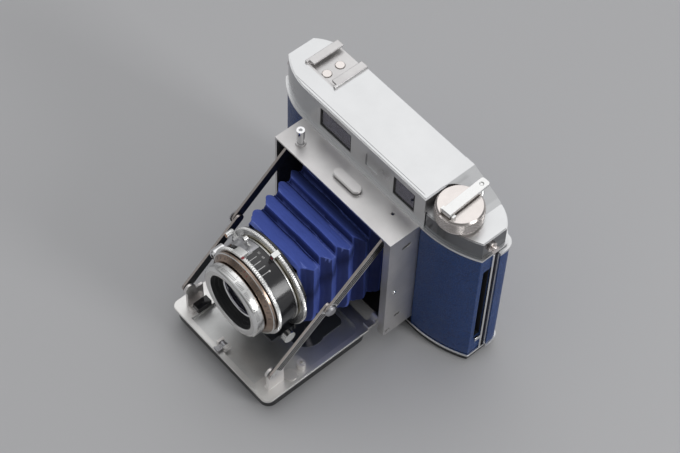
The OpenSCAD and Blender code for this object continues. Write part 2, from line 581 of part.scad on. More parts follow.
// ---------- struts ----------
module knuckle_cap(s) translate([s * strut_x, strut_k[0], strut_k[1]]) rotate([0, s * 90, 0]) {
    cylinder(h = 0.8, r1 = 3.3, r2 = 3.0, $fn = 40);
    translate([0, 0, 0.8]) cylinder(h = 0.7, r1 = 3.0, r2 = 1.9, $fn = 40);
}
module link(x0, x1, a, b, ra, rb, bush) {
    ln = norm(b - a);
    ang = atan2(b[1] - a[1], b[0] - a[0]);
    translate([x0, a[0], a[1]]) rotate([90, 0, 90]) rotate([0, 0, ang]) difference() {
        union() {
            linear_extrude(x1 - x0) {
                circle(r = strut_w / 2);
                translate([0, -strut_w / 2]) square([ln, strut_w]);
                translate([ln, 0]) circle(r = strut_w / 2);
            }
        }
        for (k = [-1:1]) translate([3.6, k * 1.55 - 0.55, bush > 0 ? (x1 - x0) - 0.5 : -1])
            cube([ln - 7.2, 1.1, 1.5]);
        translate([0, 0, -1]) cylinder(h = 9, r = ra + fit);
        if (rb > 0) translate([ln, 0, -1]) cylinder(h = 9, r = rb + fit);
    }
}
module strut_upper_r() color([0.86, 0.86, 0.88]) place() {
    link(strut_x - 1.3, strut_x, strut_u, strut_k, 1.2, 0, 1);
    bar_x(strut_x - 1.55, strut_x - 1, strut_k[0], strut_k[1], 1.1);
    knuckle_cap(1);
}
module strut_upper_l() color([0.86, 0.86, 0.88]) place() {
    link(-strut_x, 1.3 - strut_x, strut_u, strut_k, 1.2, 0, -1);
    bar_x(1 - strut_x, 1.55 - strut_x, strut_k[0], strut_k[1], 1.1);
    knuckle_cap(-1);
}
module strut_lower_r() color([0.84, 0.84, 0.86]) place()
    link(strut_x - 2.85, strut_x - 1.6, strut_l, strut_k, 1.2, 0, 1);
module strut_lower_l() color([0.84, 0.84, 0.86]) place()
    link(1.6 - strut_x, 2.85 - strut_x, strut_l, strut_k, 1.2, 0, -1);
// ---------- lens standard ----------
module standard_plate() color([0.12, 0.12, 0.13]) place() difference() {
    translate([0, -33, lens_z]) rotate([90, 0, 0]) linear_extrude(1.2) intersection() {
        square([48, 60], center = true);
        union() {
            circle(r = 25.4, $fn = 96);
            translate([-17, -27]) square([34, 27]);
        }
    }
    bar_y(0, -50, -20, lens_z, 12);
}
module standard_bracket() color([0.72, 0.64, 0.5]) place() {
    // foot under the shutter, a bar along its crank side, and the bar's round lock nut
    slab(-13, 15.6, -47, -34.3, 21.4, 22.3);
    slab(13.4, 15.6, -43.5, -34.3, 19.6, 22.3);
    bar_x(15.5, 16.9, -39.1, 22.1, 2.2);
    bar_x(16.8, 19.6, -39.1, 22.1, 3.2);
}
module shutter_drum() color([0.05, 0.05, 0.055]) place() difference() {
    union() {
        ring(-46.6, -37.7, drum_r, drum_r, 14);
        ring(-49, -46.5, 20.5, 20.5, 14);
        ring(-51.8, -49, 16, 16, 12.5 + fit);
        ring(-46, -44, 15, 15, 12.5 + fit);
        ring(-38.6, -36.9, 20.9, 20.9, 9.4);
        ring(-36.9, -34.2, 20.9, 20.9, 9.4);
        ring(-34.3, -32.4, 11.9, 11.9, 9.4);
    }
}
module drum_band() color([0.62, 0.56, 0.36]) place() {
    ring(-37.65, -37.0, 22.6, 22.6, 20.92);
    ring(-37.0, -36.45, 22.0, 22.0, 20.92);
}
module scale_cone() color([0.5, 0.4, 0.33]) place() {
    ring(-52.6, -50.6, 19.2, 21.5, 16.02);
    ring(-50.6, -49.1, 21.9, 21.9, 16.02);
}
module coin_ring(y0, y1, r, ri, n) {
    ring(y0, y1, r - 0.55, r - 0.55, ri);
    for (k = [0:n - 1]) translate([0, 0, lens_z]) rotate([0, k * 360 / n, 0]) translate([r - 0.75,
        y0 + 0.15, -0.32])
        cube([0.7, y1 - y0 - 0.3, 0.64]);
}
module speed_ring() color([0.86, 0.85, 0.83]) place() {
    coin_ring(-48.75, -46.85, speed_r, 20.5 + fit, 90);
    // index block reaching back over the drum
    intersection() {
        ring(-47.2, -44.2, drum_r + 1.1, drum_r + 1.1, drum_r + fit);
        translate([0, 0, lens_z]) rotate([0, -108, 0]) translate([0, -60, 0]) rotate([-90, 0, 0])
            linear_extrude(60) polygon([[0, 0], [40, -6], [40, 6]]);
    }
    intersection() {
        ring(-48.6, -46.9, drum_r + 1.1, drum_r + 1.1, 20.7);
        translate([0, 0, lens_z]) rotate([0, -108, 0]) translate([0, -60, 0]) rotate([-90, 0, 0])
            linear_extrude(60) polygon([[0, 0], [40, -6], [40, 6]]);
    }
}
module aperture_ring() color([0.84, 0.83, 0.8]) place() {
    coin_ring(-36.2, -34.5, aper_r, 20.9 + fit, 100);
    // setting tab
    translate([0, 0, lens_z]) rotate([0, -76.4, 0]) slab(22.9, 27.2, -38.6, -34.6, -1.2, 1.2);
}
module focus_ring() color([0.9, 0.9, 0.91]) place() difference() {
    union() {
        ring(lens_front, lens_front + 1, focus_r - 1.1, focus_r, 12.1);
        ring(lens_front + 1, lens_front + 5.1, focus_r, focus_r, 12.1);
        ring(lens_front + 5.1, lens_front + 5.8, focus_r, focus_r - 0.7, 12.1);
        ring(lens_front + 5.7, -44.5, 12.5, 12.5, 11.7);
    }
    translate([0, lens_front - 0.01, lens_z]) rotate([-90, 0, 0])
        cylinder(h = 4.4, r1 = 14.65, r2 = 12.1, $fn = 96);
}
module front_lens() color([0.25, 0.3, 0.38]) place() translate([0, 0, lens_z]) rotate([-90, 0, 0]) {
    translate([0, 0, lens_front + 6.1]) cylinder(h = 3, r = 11.65, $fn = 72);
    translate([0, 0, lens_front + 5.2]) cylinder(h = 0.95, r1 = 7, r2 = 10.4, $fn = 72);
}
module rear_lens() color([0.25, 0.3, 0.38]) place() translate([0, 0, lens_z]) rotate([-90, 0, 0])
    translate([0, 0, -36]) cylinder(h = 3, r = 9.35, $fn = 64);
module iris_leaves() color([0.06, 0.06, 0.065]) place() {
    ring(-43.8, -43.2, 13.9, 13.9, stop_r);
    // closed shutter leaves behind the stop
    for (k = [0:2]) translate([0, -42.4 + k * 0.5, lens_z]) rotate([-90, 0, 0]) rotate([0, 0, k * 120])
        linear_extrude(0.3) intersection() {
            circle(r = 13.9);
            translate([-1.2, -7]) square([16, 20]);
        }
}
module cocking_lever() color([0.8, 0.79, 0.78]) place() {
    intersection() {
        ring(-39.6, -38.7, 23.7, 23.7, drum_r + fit);
        translate([0, 0, lens_z]) rotate([0, -145, 0]) translate([0, -60, 0]) rotate([-90, 0, 0])
            linear_extrude(60) polygon([[0, 0], [40, -6], [40, 6]]);
    }
    translate([0, 0, lens_z]) rotate([0, -145, 0]) {
        slab(23, 27.6, -39.6, -38.7, -1.3, 1.3);
        translate([26.6, -42.8, 0]) rotate([-90, 0, 0]) cylinder(h = 4.0, r = 1.4);
    }
}
module release_lever() color([0.8, 0.8, 0.8]) place() {
    intersection() {
        ring(-41.2, -40.3, 23.4, 23.4, drum_r + fit);
        translate([0, 0, lens_z]) rotate([0, -112, 0]) translate([0, -60, 0]) rotate([-90, 0, 0])
            linear_extrude(60) polygon([[0, 0], [40, -4], [40, 4]]);
    }
    translate([0, 0, lens_z]) rotate([0, -112, 0]) {
        slab(23, 27, -41.2, -40.3, -0.9, 0.9);
        translate([26.4, -41.9, 0]) rotate([-90, 0, 0]) cylinder(h = 2.0, r = 1.1);
    }
}
module sync_socket() color([0.82, 0.8, 0.78]) place() {
    translate([0, 0, lens_z]) rotate([0, -184, 0]) translate([26.3, -47, 0]) rotate([-90, 0, 0])
        difference() {
        union() {
            cylinder(h = 6, r = 2.9);
            translate([0, 0, -1]) cylinder(h = 1, r1 = 2.0, r2 = 2.9);
            translate([-3.9, -1.8, 3]) cube([4, 3.6, 2.6]);
        }
        translate([0, 0, -2]) cylinder(h = 4, r = 1.0, $fn = 24);
        rotate([0, 0, 0]) translate([-26.3, 0, -20]) cylinder(h = 60, r = drum_r + 0.02, $fn = 120);
    }
}
// ---------- bellows ----------
// ridges on top lie over hollows at the sides, and the sides bulge between the ridges
b_y0 = -32.9;
b_y1 = 29.1;
b_pitch = 9;
function ridge_x(y) = 16.9 + 0.172 * (y - b_y0);
function ridge_z(y) = 22.7 + 0.16 * (y - b_y0);
module bellows() color([0.16, 0.2, 0.62]) place() {
    pleat(b_y0, b_y0 + 1.2, 17.6, 22, 16.9, 22.7);
    for (k = [0:6]) let (y = b_y0 + 1.2 + k * b_pitch, m = y + b_pitch / 2, n = min(y + b_pitch, b_y1),
            f = (n - m) / (b_pitch / 2)) {
        pleat(y, m, ridge_x(y), ridge_z(y), ridge_x(m) + 3.6, ridge_z(m) - 5);
        pleat(m, n, ridge_x(m) + 3.6, ridge_z(m) - 5,
              ridge_x(n) + 3.6 * (1 - f), ridge_z(n) - 5 * (1 - f));
    }
}
module pleat(y0, y1, ax, az, bx, bz) translate([0, 0, lens_z]) {
    t = 0.7;
    polyhedron(
        points = [
            [-ax, y0, -az], [ax, y0, -az], [ax, y0, az], [-ax, y0, az],
            [-bx, y1, -bz], [bx, y1, -bz], [bx, y1, bz], [-bx, y1, bz],
            [-ax + t, y0, -az + t], [ax - t, y0, -az + t], [ax - t, y0, az - t], [-ax + t, y0, az - t],
            [-bx + t, y1, -bz + t], [bx - t, y1, -bz + t], [bx - t, y1, bz - t], [-bx + t, y1, bz - t]],
        faces = [
            [0, 1, 5, 4], [1, 2, 6, 5], [2, 3, 7, 6], [3, 0, 4, 7],
            [8, 12, 13, 9], [9, 13, 14, 10], [10, 14, 15, 11], [11, 15, 12, 8],
            [0, 8, 9, 1], [1, 9, 10, 2], [2, 10, 11, 3], [3, 11, 8, 0],
            [4, 5, 13, 12], [5, 6, 14, 13], [6, 7, 15, 14], [7, 4, 12, 15]]);
}
// ---------- back door ----------
module door_plan(ins) intersection() {
    offset(delta = -ins) union() {
        polygon(body_pts);
        translate([end_r - 12, door_y - 6]) square([13.9, back_y - door_y - 4]);
        translate([end_r - 4.1, back_y - 10]) circle(r = 6);
    }
    back_zone();
}
module back_door() color([0.82, 0.82, 0.84]) place() {
    difference() {
        translate([0, 0, base_h + 0.5]) linear_extrude(seam_z - base_h - 1) intersection() {
            door_plan(0.9 + leather_t);
            translate([-200, -200]) square([400, 200 + back_y - 0.9 - leather_t]);
        }
        // inside
        translate([0, 0, base_h + 2.4]) linear_extrude(seam_z - base_h - 4.8) intersection() {
            offset(delta = -3.9) polygon(body_pts);
            translate([end_l + 5.5, 0]) square([body_w - 10, back_y - 3.4]);
        }
        translate([0, 0, base_h + 2.4]) slab(end_l + 5.5, end_r - 4.5, door_y - 1, 40, 0,
            seam_z - base_h - 4.8);
        translate([hinge_a[0], hinge_a[1], 0]) cylinder(h = 100, r = 2.3);
    }
    // bright edges above and below the leather
    for (z = [base_h + 0.5, seam_z - 2.1]) translate([0, 0, z]) linear_extrude(1.6) difference() {
        door_plan(0.2);
        door_plan(0.9 + leather_t);
        translate([hinge_a[0], hinge_a[1]]) circle(r = 2.3);
    }
    translate([hinge_a[0], hinge_a[1], 26.3]) difference() {
        union() {
            cylinder(h = 39.4, r = 1.7);
            translate([1.15, 0.9, 0]) cube([2.3, 2.4, 39.4]);
        }
        translate([0, 0, -1]) cylinder(h = 50, r = 0.8 + fit);
    }
}
module door_leather() color([0.14, 0.22, 0.48]) place() difference() {
    translate([0, 0, base_h + 2.1]) linear_extrude(seam_z - base_h - 4.2) difference() {
        door_plan(0.9);
        door_plan(0.9 + leather_t);
        translate([-200, 0]) square([400, door_y + 0.9]);
        translate([hinge_a[0], hinge_a[1]]) circle(r = 3.2);
    }
    // latch seat
    slab(latch_x - 4.6, latch_x + 4.6, back_y - 2, back_y + 2, 42, 58);
}
module pressure_plate() color([0.1, 0.1, 0.1]) place() {
    slab(-33, 33, 41.5, 42.2, 22, 72);
    for (x = [-18, 18]) slab(x - 4, x + 4, 42.2, back_y - 3.9, 44, 50);
}
module door_latch() color([0.8, 0.8, 0.82]) place() {
    slab(latch_x - 4, latch_x + 4, back_y - 1.55, back_y + 0.6, 44, 52);
    slab(latch_x - 2, latch_x + 2, back_y + 0.6, back_y + 1.5, 47, 49);
}

// [node name list for the exporter]
body_casting();
casting_plates();
body_leather();
exit_trim();
base_cover();
base_ledge();
tripod_bush();
seam_trim();
top_cover();
finder_glass();
finder_frames();
eyepiece();
accessory_shoe();
shoe_rivets();
strap_lugs();
front_box();
box_lining();
box_studs();
film_gate();
film_pack();
door_hinge();
roller_block();
button_collars();
advance_knob();
drive_shaft();
crank_pivot();
crank_bar();
crank_grip();
pinch_roller();
release_pin();
bed_button();
bed_pan();
bed_lobes();
bed_cover();
strut_feet();
bed_fittings();
bed_latch();
strut_upper_r();
strut_upper_l();
strut_lower_r();
strut_lower_l();
standard_plate();
standard_bracket();
shutter_drum();
drum_band();
scale_cone();
speed_ring();
aperture_ring();
focus_ring();
front_lens();
rear_lens();
iris_leaves();
cocking_lever();
release_lever();
sync_socket();
bellows();
back_door();
door_leather();
pressure_plate();
door_latch();
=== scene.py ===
# %% [markdown]
# # A folding instant-film camera
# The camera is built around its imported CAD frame. The frame says where every piece is and what it
# moves with. Each cell below finishes one family of pieces: it says what the piece is on the real
# object, how it could be made in Blender, and why this way was chosen. Sizes are in millimetres
# until a mesh is made, as on a camera maker's drawings.

# %% Load the frame
import json
import math

import bmesh
import bpy
from mathutils import Matrix, Vector, noise


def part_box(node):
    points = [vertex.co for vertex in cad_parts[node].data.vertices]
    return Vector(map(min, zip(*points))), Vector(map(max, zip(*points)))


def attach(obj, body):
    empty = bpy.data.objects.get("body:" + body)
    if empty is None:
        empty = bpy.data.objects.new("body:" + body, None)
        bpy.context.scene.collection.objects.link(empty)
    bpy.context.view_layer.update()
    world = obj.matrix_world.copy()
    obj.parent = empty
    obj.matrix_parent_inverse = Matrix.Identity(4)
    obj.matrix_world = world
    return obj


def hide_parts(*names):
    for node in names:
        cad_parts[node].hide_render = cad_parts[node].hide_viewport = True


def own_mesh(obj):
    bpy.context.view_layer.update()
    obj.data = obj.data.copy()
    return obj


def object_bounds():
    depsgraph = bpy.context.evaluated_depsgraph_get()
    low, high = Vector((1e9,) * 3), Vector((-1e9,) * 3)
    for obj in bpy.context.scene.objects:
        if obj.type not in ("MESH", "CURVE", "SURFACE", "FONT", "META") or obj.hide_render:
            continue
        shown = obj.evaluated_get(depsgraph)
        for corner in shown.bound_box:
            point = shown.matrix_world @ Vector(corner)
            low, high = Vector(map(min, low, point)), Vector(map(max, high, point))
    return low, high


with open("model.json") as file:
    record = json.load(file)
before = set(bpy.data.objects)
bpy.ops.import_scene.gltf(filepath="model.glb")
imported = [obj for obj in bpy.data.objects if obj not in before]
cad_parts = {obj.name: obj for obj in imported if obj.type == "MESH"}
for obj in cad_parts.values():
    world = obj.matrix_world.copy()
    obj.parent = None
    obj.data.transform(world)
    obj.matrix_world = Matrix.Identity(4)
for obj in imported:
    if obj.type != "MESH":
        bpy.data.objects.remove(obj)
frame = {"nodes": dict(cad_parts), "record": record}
cad_low, cad_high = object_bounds()
BODY_OF = {n: body for body, ns in frame["record"]["behaviour"]["bodies"].items() for n in ns}
MM = 0.001


def box_mm(node):
    """Lowest and highest corners of a CAD node, in millimetres."""
    low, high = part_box(node)
    return low / MM, high / MM


def new_mesh(name, verts, faces):
    mesh = bpy.data.meshes.new(name)
    mesh.from_pydata(verts, [], faces)
    return mesh


def tube_faces(rows, columns):
    """Quads between rings of points, each ring closed on itself."""
    return [(r + i, r + columns + i, r + columns + (i + 1) % columns, r + (i + 1) % columns)
            for r in range(0, (rows - 1) * columns, columns) for i in range(columns)]


DRUM_LOW, DRUM_HIGH = box_mm("shutter_drum")
LENS = (DRUM_LOW + DRUM_HIGH) / 2
print("nodes:", len(frame["nodes"]), "lens axis at x", round(LENS.x, 2), "z", round(LENS.z, 2))

# %% [markdown]
# ## Camera and light
# The camera looks down on the object from the front, with a long lens, so that parallel edges stay
# nearly parallel. It comes first, because every finish below is judged through it. Softboxes give
# metal something to reflect: a broad one overhead for the decks, a narrow one for the crank end,
# and a low one in front for the rings. The world is a soft grey sky that fills the shadows.

# %% Camera
CAMERA_AT = Vector((0.36706, -0.36611, 0.77091))
CAMERA_RIGHT = Vector((0.654922, 0.755285, 0.024928))
CAMERA_UP = Vector((-0.630118, 0.527582, 0.569744))
CAMERA_BACK = Vector((0.417168, -0.388846, 0.821444))
LENS_MM = 98.88

camera_data = bpy.data.cameras.new("camera")
camera_data.lens = LENS_MM
camera_data.sensor_width = 36.0
camera_data.clip_end = 20.0
camera = bpy.data.objects.new("camera", camera_data)
bpy.context.scene.collection.objects.link(camera)
turn = Matrix((CAMERA_RIGHT, CAMERA_UP, CAMERA_BACK)).transposed()
camera.matrix_world = Matrix.Translation(CAMERA_AT) @ turn.to_4x4()
bpy.context.scene.camera = camera
bpy.context.scene.view_settings.view_transform = "Standard"
print("camera with a", LENS_MM, "mm lens")

# %% Floor
FLOOR_HALF_M = 3.0
FLOOR_DROP_M = 0.0002    # the floor lies this far under the base


def make_floor():
    """A wide sheet of pale paper just under the camera."""
    far, low = FLOOR_HALF_M, cad_low.z - FLOOR_DROP_M
    corners = [(-far, -far, low), (far, -far, low), (far, far, low), (-far, far, low)]
    floor_mesh = new_mesh("studio_floor", corners, [(0, 1, 2, 3)])
    floor = bpy.data.objects.new("studio_floor", floor_mesh)
    bpy.context.scene.collection.objects.link(floor)
    mat = bpy.data.materials.new("floor_paper")
    mat.use_nodes = True
    shader = mat.node_tree.nodes["Principled BSDF"]
    shader.inputs["Base Color"].default_value = (0.60, 0.60, 0.61, 1)
    shader.inputs["Roughness"].default_value = 0.8
    floor_mesh.materials.append(mat)


make_floor()
print("floor", round(cad_low.z / MM - FLOOR_DROP_M / MM, 2), "mm")

# %% World
SKY_LIGHTEST = Vector((-0.2, 0.3, 0.93)).normalized()
# share of the way from level to the lightest direction, and the grey there
SKY_STOPS = ((0.0, 0.15), (0.35, 0.24), (0.62, 0.50), (0.85, 0.60), (1.0, 0.60))
SKY_TINT = (0.985, 0.99, 1.0)


def studio_world():
    """A soft sky: bright overhead and behind, dim in front, so that metal shows its shape."""
    world = bpy.data.worlds.new("studio")
    bpy.context.scene.world = world
    world.use_nodes = True
    tree = world.node_tree
    background = tree.nodes["Background"]
    towards = tree.nodes.new("ShaderNodeVectorMath")
    towards.operation = "DOT_PRODUCT"
    tree.links.new(tree.nodes.new("ShaderNodeTexCoord").outputs["Generated"], towards.inputs[0])
    towards.inputs[1].default_value = SKY_LIGHTEST
    rise = tree.nodes.new("ShaderNodeValToRGB")
    tree.links.new(towards.outputs["Value"], rise.inputs["Fac"])
    rise.color_ramp.interpolation = "EASE"
    for at, _ in SKY_STOPS[1:-1]:
        rise.color_ramp.elements.new(at)
    for element, (at, level) in zip(rise.color_ramp.elements, SKY_STOPS):
        element.position = at
        element.color = (*(level * share for share in SKY_TINT), 1)
    tree.links.new(rise.outputs["Color"], background.inputs["Color"])
    print("sky stops:", SKY_STOPS)


studio_world()

# %% Softboxes
AIM = Vector((0, 0, 0.04))    # the middle of the camera, in metres


def softbox(name, at, size, power):
    """A rectangular lamp at a place in metres, aimed at the object. Power is in watts."""
    data = bpy.data.lights.new(name, "AREA")
    data.shape = "RECTANGLE"
    data.size, data.size_y = size
    data.energy = power
    lamp = bpy.data.objects.new(name, data)
    lamp.location = at
    lamp.rotation_euler = (AIM - Vector(at)).to_track_quat("-Z", "Y").to_euler()
    bpy.context.scene.collection.objects.link(lamp)


softbox("overhead", (-0.45, 0.35, 1.15), (1.0, 1.0), 1.7)
softbox("crank_side", (1.15, 0.25, 0.5), (0.3, 0.6), 4.5)
softbox("front_low", (-0.25, -1.0, 0.5), (0.7, 0.35), 0.25)
print("three softboxes")

# %% [markdown]
# ## Shared effects
# Grain, blasting, tone and wear appear on many finishes, so each is a node group that is built
# once. A group puts out only heights, masks and values. The shader stays in the material, where
# its plain numbers remain on its own sockets.

# %% Node helpers
def feed(tree, value, socket):
    """Gives a socket a plain value, or the output of another node."""
    if isinstance(value, bpy.types.NodeSocket):
        tree.links.new(value, socket)
    else:
        socket.default_value = value


def add_node(tree, kind, **sockets):
    """A shader node; sockets are given by name, with spaces as underscores."""
    node = tree.nodes.new("ShaderNode" + kind)
    for label, value in sockets.items():
        feed(tree, value, node.inputs[label.replace("_", " ")])
    return node


def math_node(tree, operation, *values, kind="Math"):
    """A Math or VectorMath node on sockets or numbers; returns its output."""
    node = tree.nodes.new("ShaderNode" + kind)
    node.operation = operation
    for value, socket in zip(values, node.inputs):
        feed(tree, value, socket)
    return node.outputs[0]


def clamped(output):
    """Keeps a Math node's output between 0 and 1."""
    output.node.use_clamp = True
    return output


def object_coords(tree):
    return add_node(tree, "TexCoord").outputs["Object"]


def noise_of(tree, coords, scale, detail, rough=0.5):
    noise_node = add_node(tree, "TexNoise", Vector=coords, Scale=scale, Detail=detail, Roughness=rough)
    return noise_node.outputs["Fac"]


def group(name, outputs, **inputs):
    """An empty group of nodes: its tree, the inputs it is given, and the outputs to feed."""
    tree = bpy.data.node_groups.new(name, "ShaderNodeTree")
    for label, value in inputs.items():
        socket = tree.interface.new_socket(label, in_out="INPUT", socket_type="NodeSocketFloat")
        socket.default_value = value
    for label in outputs:
        tree.interface.new_socket(label, in_out="OUTPUT", socket_type="NodeSocketFloat")
    print("shared effect:", name)
    return tree, tree.nodes.new("NodeGroupInput").outputs, tree.nodes.new("NodeGroupOutput").inputs


# %% Fine relief: blasted or brushed metal
def build_fine_relief():
    tree, given, made = group("fine_relief", ["Height"], Scale=2500.0, Stretch=1.0)
    stretch = add_node(tree, "CombineXYZ", X=given["Stretch"], Y=1.0, Z=1.0).outputs[0]
    scaled = math_node(tree, "MULTIPLY", object_coords(tree), stretch, kind="VectorMath")
    feed(tree, noise_of(tree, scaled, given["Scale"], 3.0, 0.6), made["Height"])
    return tree


FINE_RELIEF = build_fine_relief()

# %% Tone: slow patches that lift and lower a value
def build_patches():
    tree, given, made = group("patches", ["Value"], Scale=60.0, Low=0.3, High=0.4)
    cloud = noise_of(tree, object_coords(tree), given["Scale"], 4.0, 0.6)
    remap = add_node(tree, "MapRange", Value=cloud, From_Min=0.3, From_Max=0.7,
                     To_Min=given["Low"], To_Max=given["High"])
    feed(tree, remap.outputs["Result"], made["Value"])
    return tree


PATCHES = build_patches()

# %% Worn and lit edges: a mask where the surface turns sharply outwards, for wear and, on the bellows, for a painted highlight
def build_worn_and_lit_edges():
    tree, given, made = group("worn_and_lit_edges", ["Mask"], Start=0.53, End=0.62)
    turning = add_node(tree, "NewGeometry").outputs["Pointiness"]
    remap = add_node(tree, "MapRange", Value=turning, From_Min=given["Start"], From_Max=given["End"])
    patchy = noise_of(tree, object_coords(tree), 700.0, 3.0)
    mask = clamped(math_node(tree, "MULTIPLY", remap.outputs["Result"], patchy))
    feed(tree, clamped(math_node(tree, "MULTIPLY", mask, 1.6)), made["Mask"])
    return tree


WORN_AND_LIT_EDGES = build_worn_and_lit_edges()

# %% Leather grain: rounded pebbles between fine valleys
BEND_M = 0.0012    # the noise pushes the pebbles' outlines about by this much


def build_leather_grain():
    tree, given, made = group("leather_grain", ["Height", "Valleys"], Scale=1300.0)
    coords = object_coords(tree)
    bend = add_node(tree, "TexNoise", Vector=coords, Scale=500.0).outputs["Color"]
    shifted = math_node(tree, "MULTIPLY_ADD", bend, (BEND_M, BEND_M, BEND_M), coords, kind="VectorMath")
    cells = add_node(tree, "TexVoronoi")
    cells.feature = "DISTANCE_TO_EDGE"
    feed(tree, shifted, cells.inputs["Vector"])
    feed(tree, given["Scale"], cells.inputs["Scale"])
    remap = add_node(tree, "MapRange", Value=cells.outputs["Distance"], From_Max=0.22)
    remap.interpolation_type = "SMOOTHSTEP"
    pebble = remap.outputs["Result"]
    fine = math_node(tree, "MULTIPLY", noise_of(tree, coords, 5200.0, 2.0), 0.35)
    feed(tree, math_node(tree, "ADD", pebble, fine), made["Height"])
    feed(tree, clamped(math_node(tree, "SUBTRACT", 1.0, pebble)), made["Valleys"])
    return tree


LEATHER_GRAIN = build_leather_grain()

# %% Cloth weave: crossed sets of threads
def build_weave():
    tree, given, made = group("cloth_weave", ["Height"], Threads=2600.0)
    coords = object_coords(tree)
    waves = []
    for direction in "XYZ":
        wave = add_node(tree, "TexWave", Vector=coords, Scale=given["Threads"], Distortion=0.6, Detail=1.0)
        wave.bands_direction = direction
        waves.append(wave.outputs["Fac"])
    total = math_node(tree, "ADD", math_node(tree, "ADD", waves[0], waves[1]), waves[2])
    feed(tree, math_node(tree, "MULTIPLY", total, 0.33), made["Height"])
    return tree


WEAVE = build_weave()

# %% Use a group in a material
def add_group(mat, shared, **values):
    """Places a shared group in a material, with this material's own values."""
    node = mat.node_tree.nodes.new("ShaderNodeGroup")
    node.node_tree = shared
    for label, value in values.items():
        node.inputs[label].default_value = value
    return node.outputs


def new_material(name, color, **sockets):
    """A Principled material; sockets are given by name, with spaces as underscores."""
    mat = bpy.data.materials.new(name)
    mat.use_nodes = True
    shader = mat.node_tree.nodes["Principled BSDF"]
    shader.inputs["Base Color"].default_value = (*color, 1)
    for label, value in sockets.items():
        shader.inputs[label.replace("_", " ")].default_value = value
    return mat


def feed_shader(mat, label, output):
    feed(mat.node_tree, output, mat.node_tree.nodes["Principled BSDF"].inputs[label])


def patch_roughness(mat, scale, low, high):
    """Lets the roughness drift between two values in slow patches."""
    feed_shader(mat, "Roughness", add_group(mat, PATCHES, Scale=scale, Low=low, High=high)["Value"])


def bump_from(mat, height, distance_mm):
    """Turns a height into relief of the given depth."""
    bump = add_node(mat.node_tree, "Bump", Height=height, Distance=distance_mm * MM)
    feed_shader(mat, "Normal", bump.outputs["Normal"])


def mix_colors(mat, mask, first, second):
    """Blends two colours (tuples or sockets) by a mask socket."""
    mix = add_node(mat.node_tree, "Mix")
    mix.data_type = "RGBA"
    feed(mat.node_tree, mask, mix.inputs["Factor"])
    for label, value in (("A", first), ("B", second)):
        socket = [s for s in mix.inputs if s.name == label and s.type == "RGBA"][0]
        feed(mat.node_tree, (*value, 1) if isinstance(value, tuple) else value, socket)
    return [s for s in mix.outputs if s.type == "RGBA"][0]


# %% [markdown]
# ## Metal finishes
# A real camera carries several platings side by side: satin chrome on the covers, polished
# chrome on pins and links, nickel with a warm cast on the controls, and plain milled aluminium in
# the bed. They share one recipe, and differ in colour, roughness and the size of the relief.

# %% Metals
TONE_PER_PATCH = 3.1    # the patches of tone are this much finer than those of roughness


def metal(name, color, rough_low, rough_high, relief_scale=2500.0, relief_mm=0.004, stretch=1.0,
          dark=0.93, patch_scale=45.0):
    """Bare or plated metal. dark is the share of its colour in the darkest patches."""
    mat = new_material(name, color, Metallic=1.0)
    patch_roughness(mat, patch_scale, rough_low, rough_high)
    tone = add_group(mat, PATCHES, Scale=patch_scale * TONE_PER_PATCH, Low=0.0, High=1.0)
    feed_shader(mat, "Base Color", mix_colors(mat, tone["Value"], tuple(c * dark for c in color), color))
    relief = add_group(mat, FINE_RELIEF, Scale=relief_scale, Stretch=stretch)
    bump_from(mat, relief["Height"], relief_mm)
    return mat


SATIN_CHROME = metal("satin_chrome", (0.80, 0.805, 0.81), 0.33, 0.38, 1900.0, 0.006, dark=0.975)
BOX_SATIN = metal("box_satin", (0.74, 0.725, 0.72), 0.36, 0.46, 2600.0, 0.010)
POLISHED = metal("polished_chrome", (0.86, 0.86, 0.87), 0.08, 0.16, 1500.0, 0.001)
WARM_NICKEL = metal("warm_nickel", (0.83, 0.775, 0.745), 0.20, 0.30, 2200.0)
RING_SILVER = metal("ring_silver", (0.88, 0.88, 0.87), 0.22, 0.30, 2600.0, 0.003)
RIM_SATIN = metal("rim_satin", (0.78, 0.77, 0.755), 0.30, 0.42, 1500.0, 0.008)
# The covers' chrome again, darkened for the walls: painted shade and dark reflection.
CHROME_WALL_PAINTED_SHADE = metal("chrome_wall_painted_shade", (0.20, 0.205, 0.215), 0.10, 0.18, 1500.0, 0.001)
SATIN_WALL_PAINTED_SHADE = metal("satin_wall_painted_shade", (0.56, 0.565, 0.575), 0.26, 0.32, 1900.0, dark=0.97)
MILLED = metal("milled_aluminium", (0.72, 0.725, 0.72), 0.34, 0.46, 500.0, 0.006, stretch=0.15, dark=0.84,
               patch_scale=28.0)
OLIVE_BRASS = metal("olive_brass", (0.60, 0.54, 0.40), 0.24, 0.34)
FLANGE_GREY = metal("flange_grey", (0.40, 0.385, 0.35), 0.24, 0.34, 2400.0, 0.003)
BRONZE = metal("bronze_anodised", (0.44, 0.335, 0.27), 0.18, 0.30, 2400.0, stretch=0.3, dark=0.7)
FOOT_NICKEL = metal("foot_nickel", (0.90, 0.875, 0.86), 0.30, 0.40, 2200.0)
GROUND_STEEL = metal("ground_steel", (0.52, 0.52, 0.54), 0.25, 0.35, 1800.0, stretch=0.2)
# a darker, browner copy of the link chrome for its edge faces: painted reflection
LINK_EDGE_PAINTED_REFLECTION = metal("link_edge_painted_reflection", (0.56, 0.51, 0.48), 0.22, 0.34, 1800.0, stretch=0.3)
LINK_RIDGE = metal("link_ridge", (0.95, 0.94, 0.93), 0.34, 0.42, 1800.0, 0.003, stretch=0.3)
COPPER_CAP = metal("copper_cap", (0.62, 0.33, 0.18), 0.22, 0.32)
print("metals made")

# %% [markdown]
# ## Paint, plastic, rubber and glass
# Black parts are never one black: lacquer on the shutter is glossy and shows soft reflections,
# the lining of the box drinks the light, and the bed's underside is a deep moulded gloss.

